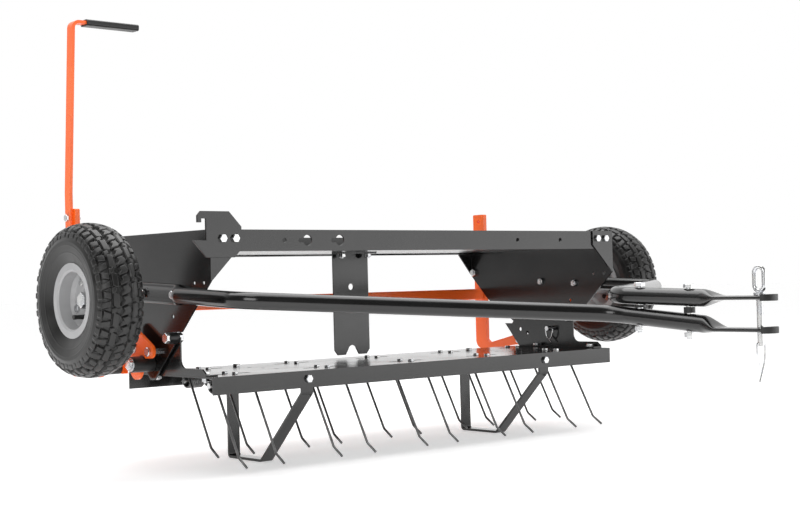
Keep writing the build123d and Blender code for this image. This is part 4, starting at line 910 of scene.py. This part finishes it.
@dataclass
class Tyre:
    """Pneumatic tyre with a blocky off-road tread cut into its surface."""

    side: Side
    centre: Point
    pitches: int = 24
    steps_per_pitch: int = 40
    groove: float = 5.5 * MM
    side_step: float = 1.6 * MM
    # Half width and radius of the tyre's outside, from the bead to the crown (mm)
    outline: tuple[tuple[float, float], ...] = (
        (24.0, 52.0),
        (29.0, 56.0),
        (30.6, 62.0),
        (32.5, 66.0),
        (37.5, 76.0),
        (41.0, 88.0),
        (42.4, 99.0),
        (42.0, 108.0),
        (39.5, 115.5),
        (34.5, 121.0),
        (26.0, 125.6),
        (14.0, 128.9),
        (0.0, 130.4),
    )

    # Height, place from the crown and spread of the raised rings on each sidewall (mm)
    side_rings: tuple[Point, ...] = ((0.35, 66.0, 0.8), (0.45, 79.0, 1.0))
    # Half width and radius of the inside wall, from one bead to the other (mm)
    inside: tuple[tuple[float, float], ...] = (
        (-18.0, 52.0),
        (-31.0, 84.0),
        (-29.0, 108.0),
        (0.0, 116.0),
        (29.0, 108.0),
        (31.0, 84.0),
        (18.0, 52.0),
    )

    def profile(self) -> tuple[np.ndarray, np.ndarray]:
        """Points of the outside from one bead to the other, with their distance from the crown."""
        half = np.array(self.outline)
        full = np.concatenate([half, half[-2::-1] * (-1, 1)])
        for _ in range(3):
            mids = (full[:-1] + full[1:]) / 2
            grown = np.empty((len(full) + len(mids), 2))
            grown[0::2], grown[1::2] = full, mids
            inner = grown[1:-1]
            inner[:] = inner * 0.5 + (grown[:-2] + grown[2:]) * 0.25
            full = grown
        length = np.concatenate([[0], np.cumsum(np.linalg.norm(np.diff(full, axis=0), axis=1))])
        places = np.arange(0, length[-1], 0.95)
        fine = np.stack([np.interp(places, length, full[:, i]) for i in (0, 1)], 1)
        return fine, places - length[-1] / 2

    @staticmethod
    def _block(distance: np.ndarray, soft: float = 0.55) -> np.ndarray:
        """1 inside a block, 0 outside, from a signed distance in mm."""
        share = np.clip(0.5 - distance / (2 * soft), 0, 1)
        return share * share * (3 - 2 * share)

    def tread(self, across: np.ndarray, around: np.ndarray) -> np.ndarray:
        """Height of the tread pattern, 0 at the groove floor and 1 on the blocks.

        Args:
            across: distance from the crown along the section, in mm, signed.
            around: place round the tyre, in pitches.

        Returns:
            The height at each place.
        """
        pitch = 34.0
        height = np.zeros(np.broadcast(across, around).shape)

        def cell(
            shift: float, slant: float, centre: float, tall: float, half_wide: float, half_long: float
        ) -> None:
            """Raises one row of slanted blocks."""
            local = (around + shift + slant * (across - centre)) % 1.0 - 0.5
            reach = np.abs(local) * pitch
            wide = np.abs(across - centre) - half_wide
            block = self._block(np.maximum(reach - half_long, wide))
            np.maximum(height, block * tall, out=height)

        zig = 3.0 * (np.abs(((around * 2.0) % 1.0) * 2 - 1) * 2 - 1)
        ribs = self._block(np.abs(across - zig) - 6.8)
        cuts = self._block(1.3 - np.abs(((around * 2.0 + across * 0.02) % 1.0) - 0.5) * pitch / 2)
        np.maximum(height, ribs * cuts, out=height)
        for sign in (-1.0, 1.0):
            shift = 0.0 if sign > 0 else 0.5
            cell(shift, 0.012 * sign, sign * 17.5, 1.0, 5.2, 12.2)
            cell(shift + 0.5, -0.01 * sign, sign * 21.0, 1.0, 4.6, 4.4)
            cell(shift + 0.25, 0.008 * sign, sign * 32.5, 1.0, 6.4, 5.6)
            cell(shift + 0.75, -0.008 * sign, sign * 35.0, 0.95, 8.8, 5.4)
            cell(shift + 0.25, 0.0, sign * 47.0, 0.42, 5.6, 6.8)
            cell(shift + 0.75, 0.0, sign * 50.5, 0.36, 3.6, 4.2)
        return height

    def build(self, shop: Workshop) -> None:
        """Builds the tyre and hides its CAD node.

        Args:
            shop: the workshop with the finishes.
        """
        fine, across = self.profile()
        turns = self.pitches * self.steps_per_pitch
        around = np.arange(turns) / self.steps_per_pitch
        grid_across, grid_around = across[:, None], around[None, :]
        height = self.tread(grid_across, grid_around)
        crown = np.clip((60.0 - np.abs(across)) / 7.0, 0, 1)[:, None]
        sink = (1 - height) * self.groove * crown
        wall = np.abs(across)
        sink[wall > 43.0] *= self.side_step / self.groove * 1.4
        rings = np.zeros(len(wall))
        for height_mm, place, spread in self.side_rings:
            rings += height_mm * MM * np.exp(-(((wall - place) / spread) ** 2))
        edge = np.gradient(fine, axis=0)
        edge /= np.linalg.norm(edge, axis=1)[:, None]
        outward = np.stack([edge[:, 1], -edge[:, 0]], 1)
        outward *= np.sign(np.sum(outward * (fine - (0, 85.0)), axis=1))[:, None]
        lift = rings[:, None] - sink
        wide = fine[:, 0][:, None] * MM + outward[:, 0][:, None] * lift
        radius = fine[:, 1][:, None] * MM + outward[:, 1][:, None] * lift
        angle = around[None, :] / self.pitches * 2 * math.pi
        x = self.centre[0] + self.side.value * wide
        y = self.centre[1] + radius * np.cos(angle)
        z = self.centre[2] + radius * np.sin(angle)
        points = np.stack([x, y, z], -1).reshape(-1, 3)
        # Inside wall, so that the tyre is a closed body
        inner_rows = []
        for half_wide, inner_radius in self.inside:
            ring = np.stack(
                [
                    np.full(turns, self.centre[0] + self.side.value * half_wide * MM),
                    self.centre[1] + inner_radius * MM * np.cos(angle[0]),
                    self.centre[2] + inner_radius * MM * np.sin(angle[0]),
                ],
                -1,
            )
            inner_rows.append(ring)
        points = np.concatenate([points, *inner_rows])
        faces = ring_faces(len(fine) + len(inner_rows), turns, closed_rows=True)
        if self.side is Side.RIGHT:
            faces = [tuple(reversed(face)) for face in faces]
        name = f"tyre_{self.side.word}"
        obj = shop.piece(f"{name}_tread", points, faces, Slot.TYRE, f"wheel_{self.side.word}")
        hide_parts(name)
        LOG.info("built %s with %d faces", obj.name, len(faces))


@dataclass
class WeldBead:
    """Rippled weld bead along a straight seam."""

    name: str
    start: Point
    end: Point
    body: str
    slot: Slot
    radius: float = 2.2 * MM
    ripple: float = 2.0 * MM

    def build(self, shop: Workshop) -> None:
        """Builds the bead.

        Args:
            shop: the workshop with the finishes.
        """
        start, end = np.array(self.start), np.array(self.end)
        length = float(np.linalg.norm(end - start))
        count = max(12, int(length / 0.0004))
        shares = np.linspace(0, 1, count)
        path = start + (end - start) * shares[:, None]
        points, faces = tube(path, self.radius, 10)
        rings = points.reshape(count, 10, 3)
        swell = 0.86 + 0.14 * np.abs(np.sin(shares * length / self.ripple * math.pi))
        swell *= np.clip(np.minimum(shares, 1 - shares) * length / self.radius, 0.05, 1) ** 0.5
        rings[:] = path[:, None] + (rings - path[:, None]) * swell[:, None, None]
        shop.piece(self.name, rings.reshape(-1, 3), faces, self.slot, self.body)


@dataclass
class Implement:
    """The whole dethatcher, with the places that its pieces share."""

    shop: Workshop
    axle: Point = (0.0, 0.0, 0.0)
    tines: list[str] = field(default_factory=list)
    clevis_middle: float = 260.5 * MM
    clevis_gap: float = 41.6 * MM
    lower_fall: float = 0.087
    upper_fall: float = 0.0344
    coil_outer: float = 14.5 * MM
    coil_z: float = 152.0 * MM

    def __post_init__(self) -> None:
        """Reads the axle's place and the tines from the frame."""
        low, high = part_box("tyre_left")
        self.axle = tuple((low[i] + high[i]) / 2 for i in range(3))
        rows = ("tine_front", "tine_rear")
        self.tines = sorted(name for name in self.shop.frame["nodes"] if name.startswith(rows))

    def build(self) -> None:
        """Builds every sub-assembly in order."""
        CadDressing().build(self.shop)
        lower_z = self.clevis_middle - self.clevis_gap / 2 - Drawbar.clevis_thick
        upper_z = self.clevis_middle + self.clevis_gap / 2
        for side, node, fall, clevis_z in (
            (Side.LEFT, "drawbar_lower", self.lower_fall, lower_z),
            (Side.RIGHT, "drawbar_upper", self.upper_fall, upper_z),
        ):
            Drawbar(side, self.axle, node, fall, clevis_z).build(self.shop)
        for name in self.tines:
            low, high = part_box(name)
            centre = ((low[0] + high[0]) / 2, high[1] - self.coil_outer, self.coil_z)
            SpringTine(name, centre).build(self.shop)
        LOG.info("wound %d spring tines", len(self.tines))
        for side in Side:
            low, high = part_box(f"tyre_{side.word}")
            Tyre(side, tuple((low[i] + high[i]) / 2 for i in range(3))).build(self.shop)
        self.weld_crossbar()

    def weld_crossbar(self) -> None:
        """Welds round the ends of the lift frame's crossbar."""
        low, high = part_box("lift_crossbar")
        for side in Side:
            x = (low[0] if side is Side.LEFT else high[0]) - side.value * 0.6 * MM
            corners = ((low[1], low[2]), (low[1], high[2]), (high[1], high[2]), (high[1], low[2]))
            for number, (here, there) in enumerate(zip(corners, corners[1:] + corners[:1])):
                name = f"crossbar_weld_{side.word}_{number + 1}"
                WeldBead(name, (x, *here), (x, *there), "lift_frame", Slot.ORANGE).build(self.shop)
        LOG.info("welded the crossbar")


# ---------------------------------------------------------------------------
# Studio
# ---------------------------------------------------------------------------
@dataclass(frozen=True)
class Softbox:
    """Rectangular studio light."""

    name: str
    place: Point
    target: Point
    size: tuple[float, float]
    power: float

    def build(self) -> None:
        """Adds the light, unseen by the camera."""
        data = bpy.data.lights.new(self.name, "AREA")
        data.shape = "RECTANGLE"
        data.size, data.size_y = self.size
        data.energy = self.power
        obj = bpy.data.objects.new(self.name, data)
        bpy.context.collection.objects.link(obj)
        obj.location = self.place
        obj.rotation_mode = "QUATERNION"
        obj.rotation_quaternion = (Vector(self.target) - Vector(self.place)).to_track_quat("-Z", "Y")
        obj.visible_camera = False


@dataclass
class Studio:
    """White sweep, soft lights and the camera."""

    floor_size: float = 60.0
    floor_tone: float = 0.86
    floor_glow: float = 0.42
    sky_back: float = 1.15
    sky_front: float = 0.14
    sky_way: Point = (0.6, 0.7, 0.39)
    lens: float = 64.34
    camera_place: Point = (-1.80202, -1.85855, 0.32369)
    right: Point = (0.76136, -0.64781, -0.02557)
    up: Point = (0.00893, -0.02895, 0.99954)
    forward: Point = (0.64826, 0.76124, 0.01625)
    lights: tuple[Softbox, ...] = (
        Softbox("top_softbox", (0.0, 0.5, 2.7), (0.0, 0.0, 0.2), (3.6, 2.6), 75.0),
        Softbox("front_softbox", (2.1, -2.7, 0.9), (0.0, 0.0, 0.35), (3.4, 1.8), 34.0),
        Softbox("key_softbox", (-2.9, -1.5, 1.5), (-0.4, 0.1, 0.4), (1.6, 1.6), 30.0),
    )

    def floor(self) -> None:
        """Adds the pale floor."""
        half = self.floor_size / 2
        mesh = bpy.data.meshes.new("studio_floor")
        corners = [(-half, -half, 0), (half, -half, 0), (half, half, 0), (-half, half, 0)]
        mesh.from_pydata(corners, [], [(0, 1, 2, 3)])
        made = bpy.data.materials.new("studio_floor_paper")
        made.use_nodes = True
        surface = made.node_tree.nodes["Principled BSDF"]
        surface.inputs["Base Color"].default_value = (self.floor_tone,) * 3 + (1,)
        surface.inputs["Roughness"].default_value = 0.9
        surface.inputs["Specular IOR Level"].default_value = 0.1
        surface.inputs["Emission Color"].default_value = (1, 1, 1, 1)
        surface.inputs["Emission Strength"].default_value = self.floor_glow
        mesh.materials.append(made)
        obj = bpy.data.objects.new("studio_floor", mesh)
        bpy.context.collection.objects.link(obj)

    def world(self) -> None:
        """Lights the scene from a surround that is white behind and dim in front."""
        world = bpy.data.worlds.new("studio")
        bpy.context.scene.world = world
        world.use_nodes = True
        world.node_tree.nodes.clear()
        tree = Tree(world.node_tree)
        seen = tree.add("ShaderNodeBackground", Color=(1, 1, 1, 1), Strength=1.0)
        way = tree.add("ShaderNodeTexCoord").outputs["Generated"]
        facing = tree.add("ShaderNodeVectorMath", {"operation": "DOT_PRODUCT"})
        tree.feed(facing, 0, way)
        tree.feed(facing, 1, self.sky_way)
        share = tree.ramp(facing.outputs["Value"], -0.15, 0.75)
        glow = tree.math("ADD", tree.math("MULTIPLY", share, self.sky_back - self.sky_front), self.sky_front)
        felt = tree.add("ShaderNodeBackground", Color=(1, 1, 1, 1), Strength=glow)
        ray = tree.add("ShaderNodeLightPath")
        blend = tree.add("ShaderNodeMixShader")
        tree.feed(blend, 0, ray.outputs["Is Camera Ray"])
        tree.feed(blend, 1, felt.outputs[0])
        tree.feed(blend, 2, seen.outputs[0])
        output = tree.add("ShaderNodeOutputWorld")
        tree.feed(output, "Surface", blend.outputs[0])

    def camera(self) -> None:
        """Adds the camera."""
        data = bpy.data.cameras.new("camera")
        data.sensor_width = 36.0
        data.lens = self.lens
        data.clip_start, data.clip_end = 0.05, 200.0
        obj = bpy.data.objects.new("camera", data)
        bpy.context.collection.objects.link(obj)
        turn = Matrix([self.right, self.up, tuple(-v for v in self.forward)]).transposed()
        obj.matrix_world = Matrix.Translation(self.camera_place) @ turn.to_4x4()
        bpy.context.scene.camera = obj

    def build(self) -> None:
        """Builds the studio."""
        self.floor()
        self.world()
        for light in self.lights:
            light.build()
        self.camera()
        LOG.info("set the studio")


def main() -> None:
    """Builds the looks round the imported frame."""
    logging.basicConfig(level=logging.INFO, format="%(name)s: %(message)s")
    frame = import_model()
    bpy.context.scene.view_settings.view_transform = "Standard"
    Implement(Workshop(frame)).build()
    Studio().build()


if __name__ == "__main__":
    main()
